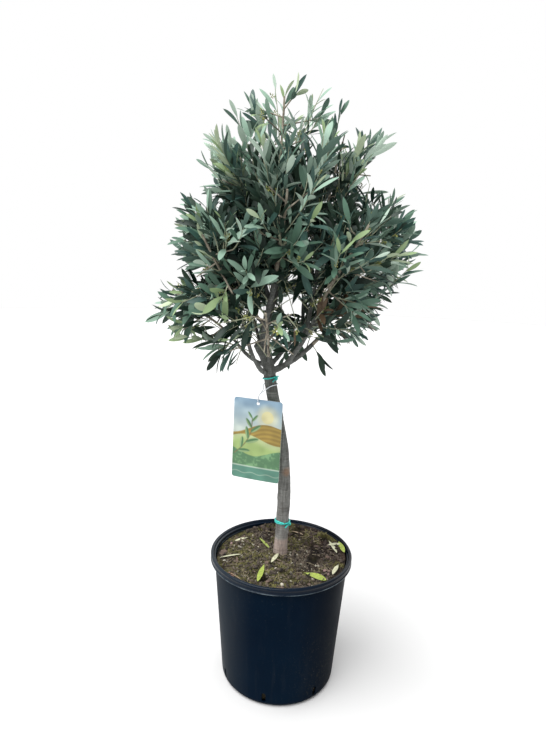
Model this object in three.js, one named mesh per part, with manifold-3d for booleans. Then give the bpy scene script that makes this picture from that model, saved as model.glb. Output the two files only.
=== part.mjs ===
// Potted olive tree: a young standard with a clear leaning stem and a round open crown,
// growing in a filled nursery pot, with two stem ties and a picture label on a string.
// Millimetres, +Z up. The origin is the middle of the pot's flat underside,
// and the front of the tree, where the label hangs, faces -Y.
import * as THREE from "three";
import { ConvexGeometry } from "three/addons/geometries/ConvexGeometry.js";
import { mergeVertices } from "three/addons/utils/BufferGeometryUtils.js";
import Module from "manifold-3d";

const wasm = await Module();
wasm.setup();

// Driving dimensions.

const gap = 0.3; // left between pieces that meet
const leastEdge = 0.01; // a join that would leave a shorter edge isn't made

const pot = {
  height: 262,
  lipRadius: 140, // the rolled lip sets the pot's width
  lipDepth: 14,
  topRadius: 132, // of the wall just under the lip
  baseRadius: 113.5,
  cornerRadius: 9, // where the wall turns into the base
  wall: 3,
  sides: 36,
  drainSlots: 7,
  drainSlot: { width: 8, height: 20, first: -11.5 }, // first is degrees from the front, to the right
};

const soil = {
  edgeLevel: 248, // where the compost meets the wall
  crownLevel: 254, // round the foot of the stem
  crownRadius: 30,
  sides: 36,
};

// The stem's centre line, from just under the compost to the knuckle where it forks.
const trunk = {
  line: [
    [-2, 0, 242],
    [0, 0, 321],
    [1, 0, 381],
    [-6, 0, 478],
    [-28, 0, 578],
    [-40, 0, 643],
    [-56, 0, 675],
  ],
  footRadius: 12.2,
  topRadius: 11,
  flare: 3.2, // extra radius at the compost, fading upwards
  flareFade: 0.06,
  sides: 10,
  steps: 15,
};

// The crown fills these ellipsoids, from its top down. reach is half their size along X, Y and Z.
const outline = [
  { centre: [-12, 5, 1060], reach: [98, 78, 86] },
  { centre: [-4, 5, 988], reach: [172, 150, 118] },
  { centre: [2, 0, 862], reach: [244, 232, 138] },
  { centre: [-34, -5, 744], reach: [234, 222, 108] },
];

// Masses of foliage, by their middles. Each fills the part of the outline that is nearer to
// its own middle than to the others'.
const masses = {
  crown_top: [-25, 5, 1052],
  upper_left: [-92, -2, 968],
  upper_right: [66, 8, 968],
  front_upper: [-14, -122, 888],
  back_upper: [6, 120, 890],
  left_side: [-148, 0, 862],
  right_side: [158, 5, 870],
  front_left: [-118, -114, 806],
  front_right: [86, -114, 822],
  low_left: [-176, -10, 735],
  low_right: [115, -10, 730],
  low_front: [-35, -112, 705],
  back_left: [-98, 124, 776],
  back_right: [75, 122, 780],
};

// Boughs. Each leaves its parent limb at a share of the parent's length and at a rise above the
// level, in degrees, and ends where it enters its mass. Parents come before what they carry.
const boughs = {
  leader: { parent: "trunk", at: 0.97, rise: 84, into: "front_upper", radius: 6.4 },
  centre_bough: { parent: "leader", at: 0.42, rise: 48, into: "crown_top", radius: 4.4 },
  upper_left_bough: { parent: "leader", at: 0.62, rise: 64, into: "upper_left", radius: 3.8 },
  left_bough: { parent: "leader", at: 0.3, rise: 38, into: "left_side", radius: 3.6 },
  low_right_bough: { parent: "trunk", at: 0.87, rise: 24, into: "low_right", radius: 6.2 },
  right_bough: { parent: "low_right_bough", at: 0.35, rise: 44, into: "front_right", radius: 4.8 },
  right_side_bough: { parent: "right_bough", at: 0.55, rise: 50, into: "right_side", radius: 3.8 },
  upper_right_bough: { parent: "right_bough", at: 0.42, rise: 66, into: "upper_right", radius: 4 },
  low_left_bough: { parent: "trunk", at: 0.9, rise: 2, into: "low_left", radius: 4 },
  front_left_bough: { parent: "trunk", at: 0.86, rise: 12, into: "front_left", radius: 4 },
  low_front_shoot: { parent: "trunk", at: 0.9, rise: 30, into: "low_front", radius: 3.4 },
  back_bough: { parent: "leader", at: 0.2, rise: 56, into: "back_upper", radius: 4.4 },
  back_left_bough: { parent: "trunk", at: 0.93, rise: 34, into: "back_left", radius: 4.2 },
  back_right_bough: { parent: "trunk", at: 0.89, rise: 36, into: "back_right", radius: 4.4 },
};
const boughShape = {
  sides: 6,
  steps: 5,
  tipShare: 0.62, // its tip's radius as a share of its root's
  upturn: 0.25, // how far its tip turns up
};

const crown = {
  axisFoot: [-30, 0, 707], // stems lean away from this point
  massRadius: 130, // how far a mass reaches at most from its middle
  margin: 3, // kept between masses
  probe: 2, // step of the search for the edge of a mass's space
  boughEnd: 0.68, // how far from its mass's middle a bough ends, as a share of massRadius
  limbClearance: 1.2, // kept from the trunk and the boughs by twigs and leaves
};

// The one stem of a mass.
const stemShape = {
  sides: 5,
  steps: 4,
  tipRadius: 1.8,
  reach: 0.6, // how far towards the edge of its space it goes
  upturn: 0.4,
  twigs: 8,
  twigsFrom: 0.15, // the stretch of it that carries twigs
  twigsTo: 0.9,
  bare: 0.5, // the share at its foot without leaves
};

const twigShape = {
  sides: 3,
  radius: 1.5,
  tipRadius: 1.1,
  reach: 0.66,
  stray: 0.5, // how far it may turn round its stem at random, in radians
  bare: 0.15,
};

const leaf = {
  length: 76,
  width: 24,
  thickness: 1.6,
  widest: 0.44, // the share of its length where it is widest
  sink: 0.2, // how far its root lies behind the twig's centre line
  stagger: 3, // between the two leaves of a pair
  twist: 70, // how far its side of the twig may vary, in degrees
  lean: 14, // and its angle
  smaller: 0.28, // and its size, as a share
  attempts: 12, // at finding it room
  rootClear: 6, // how far out from its own twig a leaf has to be clear of every twig
  last: 0.98, // where the last pair grows, as a share of the twig
  spacing: 17, // between pairs along a twig
  openAngle: 50, // degrees off the twig
  tipAngle: 18, // the same for the last pair
  opening: 2, // pairs from the last to the first that is fully open
  faceUp: 0.35, // how far its upper side turns from the twig's tip to the sky
};

const ties = {
  low: { at: 0.185, turns: 1.9 },
  high: { at: 0.845, turns: 1.15 },
  cord: 1.4, // radius
  pitch: 3.4, // rise in one turn
  start: 2.2, // where it starts, in radians round the stem
  sides: 5,
  stepsPerTurn: 12,
};

const label = {
  width: 96,
  height: 158,
  thickness: 0.9,
  corner: 5,
  yaw: -17, // degrees: the right edge stands forward
  roll: -1,
  topCentre: [-53, -20, 573],
  hole: { radius: 3, drop: 8 },
  string: { radius: 0.8, sides: 4, steps: 32, at: 0.818, clear: 1 },
};

// Helpers.

const up = new THREE.Vector3(0, 0, 1);
const vector = (point) => new THREE.Vector3(...point);
const radians = THREE.MathUtils.degToRad;
const goldenAngle = Math.PI * (3 - Math.sqrt(5));

// A seeded row of numbers from 0 to 1, the same on every run.
function seededRow(seed) {
  let state = (seed * 7919 + 12345) >>> 0;
  return () => {
    state = (Math.imul(state, 1664525) + 1013904223) >>> 0;
    return state / 2 ** 32;
  };
}

// A closed geometry with its corners merged.
function merged(geometry) {
  const bare = geometry.clone();
  bare.deleteAttribute("normal");
  bare.deleteAttribute("uv");
  return mergeVertices(bare, 1e-3);
}

// A closed geometry as a solid that can be joined and cut.
function solidOf(geometry) {
  const { attributes, index } = geometry.attributes.normal ? merged(geometry) : geometry;
  return new wasm.Manifold(
    new wasm.Mesh({
      numProp: 3,
      vertProperties: attributes.position.array,
      triVerts: new Uint32Array(index.array),
    }),
  );
}

// Two solids joined, or the first alone where the join isn't one body with sound edges.
function joined(whole, piece) {
  const both = whole.add(piece);
  const { vertProperties, triVerts } = both.getMesh();
  const corner = (i) => new THREE.Vector3().fromArray(vertProperties, 3 * triVerts[i]);
  for (let i = 0; i < triVerts.length; i++) {
    const next = i % 3 === 2 ? i - 2 : i + 1;
    if (corner(i).distanceTo(corner(next)) < leastEdge) return whole;
  }
  return both.decompose().length === 1 ? both : whole;
}

// A solid's surface as a geometry again.
function geometryOf(solid) {
  const mesh = solid.getMesh();
  return new THREE.BufferGeometry()
    .setAttribute("position", new THREE.BufferAttribute(mesh.vertProperties, mesh.numProp))
    .setIndex(new THREE.BufferAttribute(mesh.triVerts, 1));
}

// A body of revolution about +Z from its half section, [radius, height] points from the bottom up.
function revolved(section, sides) {
  const points = section.map(([radius, height]) => new THREE.Vector2(radius, height));
  return new THREE.LatheGeometry(points, sides).rotateX(Math.PI / 2);
}

// A round limb along a path: a cylinder whose rings are set square on the path, with the
// radius that radiusAt gives for a share of its length.
function limbGeometry(path, radiusAt, sides, steps) {
  const geometry = new THREE.CylinderGeometry(1, 1, 1, sides, steps);
  const frames = path.computeFrenetFrames(steps);
  const position = geometry.attributes.position;
  const local = new THREE.Vector3();
  for (let i = 0; i < position.count; i++) {
    local.fromBufferAttribute(position, i);
    const ring = Math.round((local.y + 0.5) * steps);
    const radius = radiusAt(ring / steps);
    const point = path
      .getPointAt(ring / steps)
      .addScaledVector(frames.normals[ring], local.z * radius)
      .addScaledVector(frames.binormals[ring], local.x * radius);
    position.setXYZ(i, point.x, point.y, point.z);
  }
  return geometry;
}

const taper = (from, to) => (share) => from + (to - from) * share;

// A path that leaves start along one direction and arrives at end along another.
function sweep(start, leaving, end, arriving, ease = 0.36) {
  const length = start.distanceTo(end);
  return new THREE.CubicBezierCurve3(
    start,
    start.clone().addScaledVector(leaving, length * ease),
    end.clone().addScaledVector(arriving, -length * ease),
    end,
  );
}

// A direction between two others.
function between(a, b, share) {
  return a.clone().multiplyScalar(1 - share).addScaledVector(b, share).normalize();
}

const tree = new THREE.Group();

function addMesh(name, geometry, material) {
  const mesh = new THREE.Mesh(geometry, material);
  mesh.name = name;
  tree.add(mesh);
  return mesh;
}

const materials = {
  pot: new THREE.MeshStandardMaterial({ color: 0x1b2128, roughness: 0.5 }),
  soil: new THREE.MeshStandardMaterial({ color: 0x3d3424, roughness: 1 }),
  bark: new THREE.MeshStandardMaterial({ color: 0x6b6259, roughness: 0.9 }),
  foliage: new THREE.MeshStandardMaterial({ color: 0x5c7765, roughness: 0.6 }),
  tie: new THREE.MeshStandardMaterial({ color: 0x1fa08e, roughness: 0.4 }),
  card: new THREE.MeshStandardMaterial({ color: 0xa9bf87, roughness: 0.35 }),
  string: new THREE.MeshStandardMaterial({ color: 0xdfe4e8, roughness: 0.6 }),
};

// The pot: a thin tapering wall with a rolled lip, a flat base and drain slots cut through
// the corner between them.
function makePot() {
  const { height, lipRadius, lipDepth, topRadius, baseRadius, cornerRadius, wall } = pot;
  const round = lipDepth / 4;
  const bend = cornerRadius * (1 - Math.SQRT1_2);
  const section = [
    [0, 0],
    [baseRadius - cornerRadius, 0],
    [baseRadius - bend, bend],
    [baseRadius, cornerRadius],
    [topRadius, height - lipDepth],
    [lipRadius, height - lipDepth],
    [lipRadius, height - round],
    [lipRadius - round, height],
    [topRadius, height],
    [topRadius - wall, height - wall],
    [baseRadius - wall, cornerRadius],
    [baseRadius - wall - cornerRadius, wall],
    [0, wall],
  ];
  let body = solidOf(revolved(section, pot.sides));
  const { width, height: slotHeight, first } = pot.drainSlot;
  for (let i = 0; i < pot.drainSlots; i++) {
    const angle = radians(first + (i * 360) / pot.drainSlots - 90);
    const slot = new THREE.BoxGeometry(4 * wall, width, slotHeight);
    slot.translate(baseRadius, 0, cornerRadius + slotHeight / 2);
    body = body.subtract(solidOf(slot.rotateZ(angle)));
  }
  return addMesh("pot", geometryOf(body), materials.pot);
}

// The compost: it fills the pot to just under the lip and rises a little to the stem's foot.
function makeSoil() {
  const { height, topRadius, baseRadius, cornerRadius, wall } = pot;
  const clear = wall + 2 * gap;
  const topShare = (soil.edgeLevel - cornerRadius) / (height - wall - cornerRadius);
  const edgeRadius = baseRadius - clear + (topRadius - baseRadius) * topShare;
  const section = [
    [0, wall + gap],
    [baseRadius - clear - cornerRadius, wall + gap],
    [baseRadius - clear, cornerRadius + gap],
    [edgeRadius, soil.edgeLevel],
    [soil.crownRadius, soil.crownLevel],
    [0, soil.crownLevel],
  ];
  return addMesh("soil", revolved(section, soil.sides), materials.soil);
}

// Limbs: every one keeps its path and radius, so that boughs can grow from it.
const limbs = {};

function trunkRadius(share) {
  const straight = trunk.footRadius + (trunk.topRadius - trunk.footRadius) * share;
  return straight + trunk.flare * Math.exp(-share / trunk.flareFade);
}

function makeTrunk() {
  const path = new THREE.CatmullRomCurve3(trunk.line.map(vector));
  limbs.trunk = { path, radiusAt: trunkRadius, sides: trunk.sides, steps: trunk.steps };
  const block = 100;
  const middle = soil.crownLevel + gap - block / 2;
  const below = new THREE.BoxGeometry(block, block, block).translate(0, 0, middle);
  const whole = limbSolid(limbs.trunk, 0);
  return addMesh("trunk", geometryOf(whole.subtract(solidOf(below))), materials.bark);
}

// A limb's solid, thickened by extra all round.
function limbSolid({ path, radiusAt, sides, steps }, extra) {
  return solidOf(limbGeometry(path, (share) => radiusAt(share) + extra, sides, steps));
}

const massList = Object.entries(masses).map(([name, centre]) => ({
  name,
  centre: vector(centre),
}));

function inOutline(point) {
  return outline.some(
    ({ centre, reach }) => point.clone().sub(vector(centre)).divide(vector(reach)).length() <= 1,
  );
}

// Whether a point is in a mass's own space.
function owns(mass, point) {
  const own = point.distanceTo(mass.centre);
  if (own > crown.massRadius || !inOutline(point)) return false;
  return massList.every(
    (other) => other === mass || own + crown.margin <= point.distanceTo(other.centre),
  );
}

// The point a share of the way from a mass's middle to the edge of its space.
function towardsEdge(mass, direction, share) {
  let out = crown.probe;
  while (owns(mass, mass.centre.clone().addScaledVector(direction, out))) out += crown.probe;
  return mass.centre.clone().addScaledVector(direction, (out - crown.probe) * share);
}

// A bough: from inside its parent to the place where it enters its mass, cut back to leave
// a gap round the parent.
function makeBough(name, { parent, at, rise, into, radius }) {
  const carrier = limbs[parent];
  const mass = massList.find((each) => each.name === into);
  const start = carrier.path.getPointAt(at);
  const whole = start.distanceTo(mass.centre);
  const end = start.clone().lerp(mass.centre, 1 - (crown.massRadius * crown.boughEnd) / whole);
  const chord = end.clone().sub(start).normalize();
  const level = new THREE.Vector3(chord.x, chord.y, 0).normalize();
  const leaving = level
    .multiplyScalar(Math.cos(radians(rise)))
    .addScaledVector(up, Math.sin(radians(rise)));
  const arriving = between(chord, up, boughShape.upturn);
  const path = sweep(start, leaving, end, arriving);
  const radiusAt = taper(radius, radius * boughShape.tipShare);
  const { sides, steps } = boughShape;
  limbs[name] = { path, radiusAt, sides, steps, arriving };
  mass.bough = limbs[name];
  const cut = limbSolid(limbs[name], 0).subtract(limbSolid(carrier, gap));
  return addMesh(name, geometryOf(largestOf(cut)), materials.bark);
}

// The largest body of a solid: what a cut leaves loose is dropped.
function largestOf(solid) {
  return solid.decompose().sort((a, b) => b.volume() - a.volume())[0];
}

// Leaves.

// A leaf blade lying along +X from its root: pointed at both ends, widest just before the
// middle, flat beneath and raised to a ridge on its upper side, +Z.
function leafBlade() {
  const { length, width, thickness, widest } = leaf;
  const outline = [
    [0, 0, 0],
    [length, 0, 0],
    [length * widest, width / 2, 0],
    [length * widest, -width / 2, 0],
    [length * widest, 0, thickness],
  ];
  return merged(new ConvexGeometry(outline.map(vector)));
}
const blade = leafBlade();

// One leaf on a twig: it leans off the twig's direction by angle, towards side. outer is the
// same leaf moved out from its twig, to tell whether it would cross anything else.
function placedLeaf(point, along, side, angle, size) {
  const axis = along
    .clone()
    .multiplyScalar(Math.cos(angle))
    .addScaledVector(side, Math.sin(angle));
  const face = between(along, up, leaf.faceUp);
  face.addScaledVector(axis, -face.dot(axis)).normalize();
  const turn = new THREE.Matrix4().makeBasis(axis, face.clone().cross(axis), face);
  const root = point.clone().addScaledVector(axis, -leaf.sink);
  const place = new THREE.Matrix4()
    .makeTranslation(root)
    .multiply(turn)
    .scale(new THREE.Vector3(size, size, 1));
  const middle = leaf.length * leaf.widest;
  const corners = [
    [leaf.length, 0, 0],
    [(leaf.length + middle) / 2, 0, 0],
    [middle, leaf.width / 2, 0],
    [middle, -leaf.width / 2, 0],
  ].map((corner) => vector(corner).applyMatrix4(place));
  const out = axis.clone().multiplyScalar(leaf.rootClear);
  const moved = new THREE.Matrix4().makeTranslation(out).multiply(place);
  return {
    solid: solidOf(blade.clone().applyMatrix4(place)),
    outer: solidOf(blade.clone().applyMatrix4(moved)),
    corners,
  };
}

// The places for leaves on a twig, from its tip down: nearly opposite pairs, each a quarter
// turn round from the last, which open wider away from the tip. Its bare share carries none.
function leafPlaces(path, bare) {
  const places = [];
  const length = path.getLength();
  for (let pair = 0; pair * leaf.spacing < length; pair++) {
    const opened = Math.min(1, pair / leaf.opening);
    const angle = leaf.tipAngle + (leaf.openAngle - leaf.tipAngle) * opened;
    for (const half of [0, 1]) {
      const at = leaf.last - (pair * leaf.spacing + half * leaf.stagger) / length;
      if (at > bare) places.push({ at, turn: (pair % 2) * 90 + half * 180, angle });
    }
  }
  return places;
}

// A leaf at one of those places, turned and sized a little at random.
function leafAt(path, { at, turn, angle }, random) {
  const along = path.getTangentAt(at);
  const flat = new THREE.Vector3().crossVectors(along, up).normalize();
  const upright = new THREE.Vector3().crossVectors(flat, along).normalize();
  const turned = radians(turn + (random() - 0.5) * leaf.twist);
  const side = flat.multiplyScalar(Math.cos(turned)).addScaledVector(upright, Math.sin(turned));
  const opened = radians(angle + random() * leaf.lean);
  const size = 1 - random() * leaf.smaller;
  return placedLeaf(path.getPointAt(at), along, side, opened, size);
}

// A mass of foliage: one stem that grows on from its bough's tip, straight twigs that aim
// evenly all round the mass's middle, and leaves fused on. A twig or leaf that would leave the
// mass's space, touch a limb or cross what has grown is skipped.
function makeMass(mass, index, limbsNear) {
  const random = seededRow(index + 1);
  const { path: boughPath, radiusAt, arriving } = mass.bough;
  const start = boughPath.getPointAt(1).addScaledVector(arriving, gap);
  const outward = mass.centre.clone().sub(vector(crown.axisFoot)).normalize();
  const lean = between(outward, up, stemShape.upturn);
  const stem = sweep(start, arriving, towardsEdge(mass, lean, stemShape.reach), lean);
  const stemRadius = taper(radiusAt(1), stemShape.tipRadius);
  let whole = solidOf(limbGeometry(stem, stemRadius, stemShape.sides, stemShape.steps));
  const paths = [stem];

  const across = new THREE.Vector3().crossVectors(lean, up).normalize();
  const over = new THREE.Vector3().crossVectors(across, lean);
  const { twigs, twigsFrom, twigsTo } = stemShape;
  for (let i = 0; i < twigs; i++) {
    const height = 1 - (2 * (i + 0.5)) / twigs;
    const round = Math.sqrt(1 - height * height);
    const turn = i * goldenAngle + random() * twigShape.stray;
    const aim = lean.clone().multiplyScalar(height);
    aim.addScaledVector(across, round * Math.cos(turn));
    aim.addScaledVector(over, round * Math.sin(turn));
    const target = towardsEdge(mass, aim, twigShape.reach);
    const from = twigsFrom + (twigsTo - twigsFrom) * (0.5 + height / 2);
    const path = new THREE.LineCurve3(stem.getPointAt(from), target);
    const radius = taper(twigShape.radius, twigShape.tipRadius);
    const twig = solidOf(limbGeometry(path, radius, twigShape.sides, 1));
    const inside = [0.4, 0.7, 1].every((share) => owns(mass, path.getPointAt(share)));
    if (!inside || touches(twig, limbsNear)) continue;
    const grown = joined(whole, twig);
    if (grown === whole) continue;
    whole = grown;
    paths.push(path);
  }

  for (const path of paths) {
    for (const place of leafPlaces(path, path === stem ? stemShape.bare : twigShape.bare)) {
      for (let attempt = 0; attempt < leaf.attempts; attempt++) {
        const { solid, corners, outer } = leafAt(path, place, random);
        if (!corners.every((corner) => owns(mass, corner))) continue;
        if (touches(outer, [whole]) || touches(solid, limbsNear)) continue;
        const grown = joined(whole, solid);
        if (grown === whole) continue;
        whole = grown;
        break;
      }
    }
  }
  return addMesh(mass.name, geometryOf(whole), materials.foliage);
}

// Whether a solid crosses any of the others.
function touches(solid, others) {
  return others.some((other) => !solid.intersect(other).isEmpty());
}

// A stem tie: a soft cord wound round the stem, its ends crossing at the front left.
function makeTie(name, { at, turns }) {
  const { path, radiusAt } = limbs.trunk;
  const along = path.getTangentAt(at);
  const across = new THREE.Vector3().crossVectors(along, vector([0, 1, 0])).normalize();
  const over = new THREE.Vector3().crossVectors(along, across);
  const windRadius = radiusAt(at) / Math.cos(Math.PI / trunk.sides) + gap + ties.cord;
  const winding = new THREE.Curve();
  winding.getPoint = (share, target = new THREE.Vector3()) => {
    const turn = ties.start + share * turns * 2 * Math.PI;
    return target
      .copy(path.getPointAt(at))
      .addScaledVector(across, windRadius * Math.cos(turn))
      .addScaledVector(over, windRadius * Math.sin(turn))
      .addScaledVector(along, (share - 0.5) * turns * ties.pitch);
  };
  const steps = Math.round(turns * ties.stepsPerTurn);
  const cord = limbGeometry(winding, () => ties.cord, ties.sides, steps);
  return addMesh(name, cord, materials.tie);
}

// The label: a thin card with round corners and a hole for its string.
function makeLabel() {
  const { width, height, thickness, corner, hole } = label;
  const card = new THREE.Shape();
  const [w, h, c] = [width / 2, height, corner];
  card.moveTo(-w + c, 0).lineTo(w - c, 0).absarc(w - c, -c, c, Math.PI / 2, 0, true);
  card.lineTo(w, -h + c).absarc(w - c, -h + c, c, 0, -Math.PI / 2, true);
  card.lineTo(-w + c, -h).absarc(-w + c, -h + c, c, -Math.PI / 2, -Math.PI, true);
  card.lineTo(-w, -c).absarc(-w + c, -c, c, Math.PI, Math.PI / 2, true);
  card.holes.push(new THREE.Path().absarc(0, -hole.drop, hole.radius, 0, 2 * Math.PI));
  const plate = new THREE.ExtrudeGeometry(card, {
    depth: thickness,
    bevelEnabled: false,
    curveSegments: 4,
  });
  const mesh = addMesh("label", plate.rotateX(Math.PI / 2), materials.card);
  mesh.rotation.set(0, radians(-label.roll), radians(label.yaw), "ZYX");
  mesh.position.set(...label.topCentre);
  return mesh;
}

// The label's string: a closed loop through the card's hole and round the stem, just under
// the upper tie.
function makeString(card) {
  const { radius, sides, steps, at, clear } = label.string;
  card.updateMatrixWorld();
  const onCard = (across, out, above) =>
    new THREE.Vector3(across, out, above - label.hole.drop).applyMatrix4(card.matrixWorld);
  const { path, radiusAt } = limbs.trunk;
  const middle = path.getPointAt(at);
  const windRadius = radiusAt(at) + radius + clear;
  const round = (degrees, below = 0, out = 0) =>
    new THREE.Vector3(Math.cos(radians(degrees)), Math.sin(radians(degrees)), 0)
      .multiplyScalar(windRadius + out)
      .add(middle)
      .addScaledVector(up, -below);
  const inFront = -label.thickness - radius - clear;
  const behind = radius + clear;
  const loop = new THREE.CatmullRomCurve3(
    [
      onCard(0, -label.thickness / 2, 1),
      onCard(0, inFront, 5),
      onCard(0.5, inFront, 14),
      round(-120, 8, 2),
      round(-85, 2),
      round(-35),
      round(20),
      round(75),
      round(130),
      round(180, 2),
      round(212, 8, 2),
      onCard(0, behind, 14),
      onCard(0, behind, 5),
    ],
    true,
  );
  return addMesh("label_string", closedCord(loop, radius, sides, steps), materials.string);
}

// A cord along a closed path: a torus whose rings are set square on the path.
function closedCord(path, radius, sides, steps) {
  const geometry = new THREE.TorusGeometry(2, 1, sides, steps);
  const frames = path.computeFrenetFrames(steps, true);
  const { position, uv } = geometry.attributes;
  for (let i = 0; i < position.count; i++) {
    const ring = Math.round(uv.getX(i) * steps) % steps;
    const turn = uv.getY(i) * 2 * Math.PI;
    const point = path
      .getPointAt(ring / steps)
      .addScaledVector(frames.normals[ring], Math.cos(turn) * radius)
      .addScaledVector(frames.binormals[ring], -Math.sin(turn) * radius);
    position.setXYZ(i, point.x, point.y, point.z);
  }
  return geometry;
}

makePot();
makeSoil();
makeTrunk();
for (const [name, bough] of Object.entries(boughs)) makeBough(name, bough);
const limbsNear = Object.values(limbs).map((each) => limbSolid(each, crown.limbClearance));
massList.forEach((mass, index) => makeMass(mass, index, limbsNear));
makeTie("tie_low", ties.low);
makeTie("tie_high", ties.high);
makeString(makeLabel());

export default tree;
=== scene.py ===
# Potted olive tree: the finished surfaces, leaves and twigs, and a plain studio round them.
import itertools
import math
import bpy
import numpy as np
from mathutils import Matrix, Vector


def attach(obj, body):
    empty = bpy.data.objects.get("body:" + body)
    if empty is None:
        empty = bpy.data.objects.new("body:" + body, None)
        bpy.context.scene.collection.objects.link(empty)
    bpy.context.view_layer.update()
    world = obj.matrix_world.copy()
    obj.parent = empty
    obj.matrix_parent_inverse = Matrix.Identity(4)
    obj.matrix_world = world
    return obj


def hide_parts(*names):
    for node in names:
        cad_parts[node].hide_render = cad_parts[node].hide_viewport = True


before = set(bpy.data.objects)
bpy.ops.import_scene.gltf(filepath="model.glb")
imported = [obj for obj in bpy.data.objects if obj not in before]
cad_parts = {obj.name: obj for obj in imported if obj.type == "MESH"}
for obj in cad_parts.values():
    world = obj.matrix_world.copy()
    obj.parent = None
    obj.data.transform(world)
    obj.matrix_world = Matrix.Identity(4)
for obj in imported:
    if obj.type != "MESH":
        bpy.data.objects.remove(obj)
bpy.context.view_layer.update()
mm = 0.001  # shapes below are worked out in millimetres
skyward = np.array([0.0, 0.0, 1.0])
goldenAngle = math.pi * (3 - math.sqrt(5))
print("frame:", len(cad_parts), "nodes")


# the camera comes first: it looks slightly down at the tree from the front
cameraShape = {"place": (0, -1.02, 0.817), "pitch": 10.5, "yaw": -1.6, "roll": 1.9, "lens": 26.93}


def addCamera(shape):
    camera = bpy.data.objects.new("camera", bpy.data.cameras.new("camera"))
    camera.data.lens = shape["lens"]
    camera.data.clip_start = 0.02
    turn = Matrix.Rotation(math.radians(-shape["yaw"]), 4, "Z")
    tip = Matrix.Rotation(math.radians(90 - shape["pitch"]), 4, "X")
    roll = Matrix.Rotation(math.radians(shape["roll"]), 4, "Z")
    camera.matrix_world = Matrix.Translation(shape["place"]) @ turn @ tip @ roll
    bpy.context.collection.objects.link(camera)
    bpy.context.scene.camera = camera


addCamera(cameraShape)


# directions and paths

def unit(v):  # v over its own length
    return v / np.linalg.norm(v, axis=-1, keepdims=True)


def between(a, b, share):  # the direction of a·(1 − share) + b·share
    return unit(a * (1 - share) + b * share)


def dot(a, b):  # keeps a last axis of 1, so that it can scale a vector
    return (a * b).sum(axis=-1, keepdims=True)


def circle(count):  # angles evenly all round
    return np.linspace(0, 2 * math.pi, count, endpoint=False)


def heading(a):  # the level direction (cos a, sin a, 0)
    return np.stack([np.cos(a), np.sin(a), 0 * a], axis=-1)


def swing(across, over, a):  # across·cos a + over·sin a
    return across * np.cos(a)[..., None] + over * np.sin(a)[..., None]


def drawn(random, span, size):  # evenly random between the two ends of a span
    return span[0] + (span[1] - span[0]) * random.random(size)


# points spaced evenly along a line of points: each coordinate read off by length
def evenly(points, count):
    along = np.concatenate([[0], np.cumsum(np.linalg.norm(np.diff(points, axis=0), axis=1))])
    wanted = np.linspace(0, along[-1], count)
    return np.stack([np.interp(wanted, along, points[:, k]) for k in range(3)], axis=1)


# where a share of an evenly spaced path lies: its two nearest points, blended
def pointAt(path, share):
    place = np.clip(np.asarray(share, float), 0, 1) * (len(path) - 1)
    low = np.minimum(place.astype(int), len(path) - 2)
    part = (place - low)[..., None]
    return path[low] * (1 - part) + path[low + 1] * part


def tangentAt(path, share):
    step = 1 / len(path)
    share = np.clip(np.asarray(share, float), step, 1 - step)
    return unit(pointAt(path, share + step) - pointAt(path, share - step))


# the same for many paths at once: the places and directions at a share of each path named
def alongPaths(paths, which, share):
    place = share * (paths.shape[1] - 1)
    low = np.minimum(place.astype(int), paths.shape[1] - 2)
    a, b = paths[which, low], paths[which, low + 1]
    return a + (b - a) * (place - low)[:, None], unit(b - a)


# a smooth path through points: between two of them, p + a·t + b·t² + c·t³ with end slopes
# from the neighbours, each weighed by the square root of its distance
def through(points, count, closed=False, steps=40):
    p = np.array(points, float)
    if closed:
        p = np.concatenate([p[-1:], p, p[:2]])
    else:
        p = np.concatenate([2 * p[:1] - p[1:2], p, 2 * p[-1:] - p[-2:-1]])
    gaps = np.sqrt(np.linalg.norm(np.diff(p, axis=0), axis=1))[:, None]
    slope = np.diff(p, axis=0) / gaps
    wide = (p[2:] - p[:-2]) / (gaps[1:] + gaps[:-1])
    start = (slope[:-2] - wide[:-1] + slope[1:-1]) * gaps[1:-1]
    end = (slope[1:-1] - wide[1:] + slope[2:]) * gaps[1:-1]
    step = p[2:-1] - p[1:-2]
    t = np.linspace(0, 1, steps, endpoint=False)[:, None, None]
    bend = 3 * step - 2 * start - end
    twist = start + end - 2 * step
    line = p[1:-2] + start * t + bend * t**2 + twist * t**3
    line = line.transpose(1, 0, 2).reshape(-1, 3)
    return evenly(np.concatenate([line, p[-2:-1]]), count)


# a path that leaves start along one direction and arrives at end along another: the cubic
# a·(1−t)³ + 3b·t·(1−t)² + 3c·t²·(1−t) + d·t³, its handles a share of the way long
def sweep(start, leaving, end, arriving, count=60, steps=200, handleShare=0.36):
    handle = handleShare * np.linalg.norm(end - start)
    t = np.linspace(0, 1, steps)[:, None]
    corners = (start, start + leaving * handle, end - arriving * handle, end)
    weights = ((1 - t) ** 3, 3 * t * (1 - t) ** 2, 3 * t**2 * (1 - t), t**3)
    return evenly(sum(w * c for w, c in zip(weights, corners)), count)


# a smooth random field from −1 to 1: hashed values at whole numbers, blended by 3t² − 2t³
def field(points, seed=0):
    base = np.floor(points).astype(np.int64)
    t = points - base
    t = t * t * (3 - 2 * t)
    total = np.zeros(points.shape[:-1])
    for corner in itertools.product((0, 1), repeat=3):
        x, y, z = np.moveaxis(base + corner, -1, 0)
        hashed = (x * 73856093) ^ (y * 19349663) ^ (z * 83492791) ^ (seed * 50331653)
        hashed = ((hashed & 0x7FFFFFFF) * 1103515245 + 12345) & 0x7FFFFFFF
        value = ((hashed >> 8) % 8192) / 4096 - 1
        total += value * np.where(corner, t, 1 - t).prod(axis=-1)
    return total


def ease(x, low, high):  # 0 below low, 1 above high, 3t² − 2t³ between
    t = np.clip((x - low) / (high - low), 0, 1)
    return t * t * (3 - 2 * t)


# meshes

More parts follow.
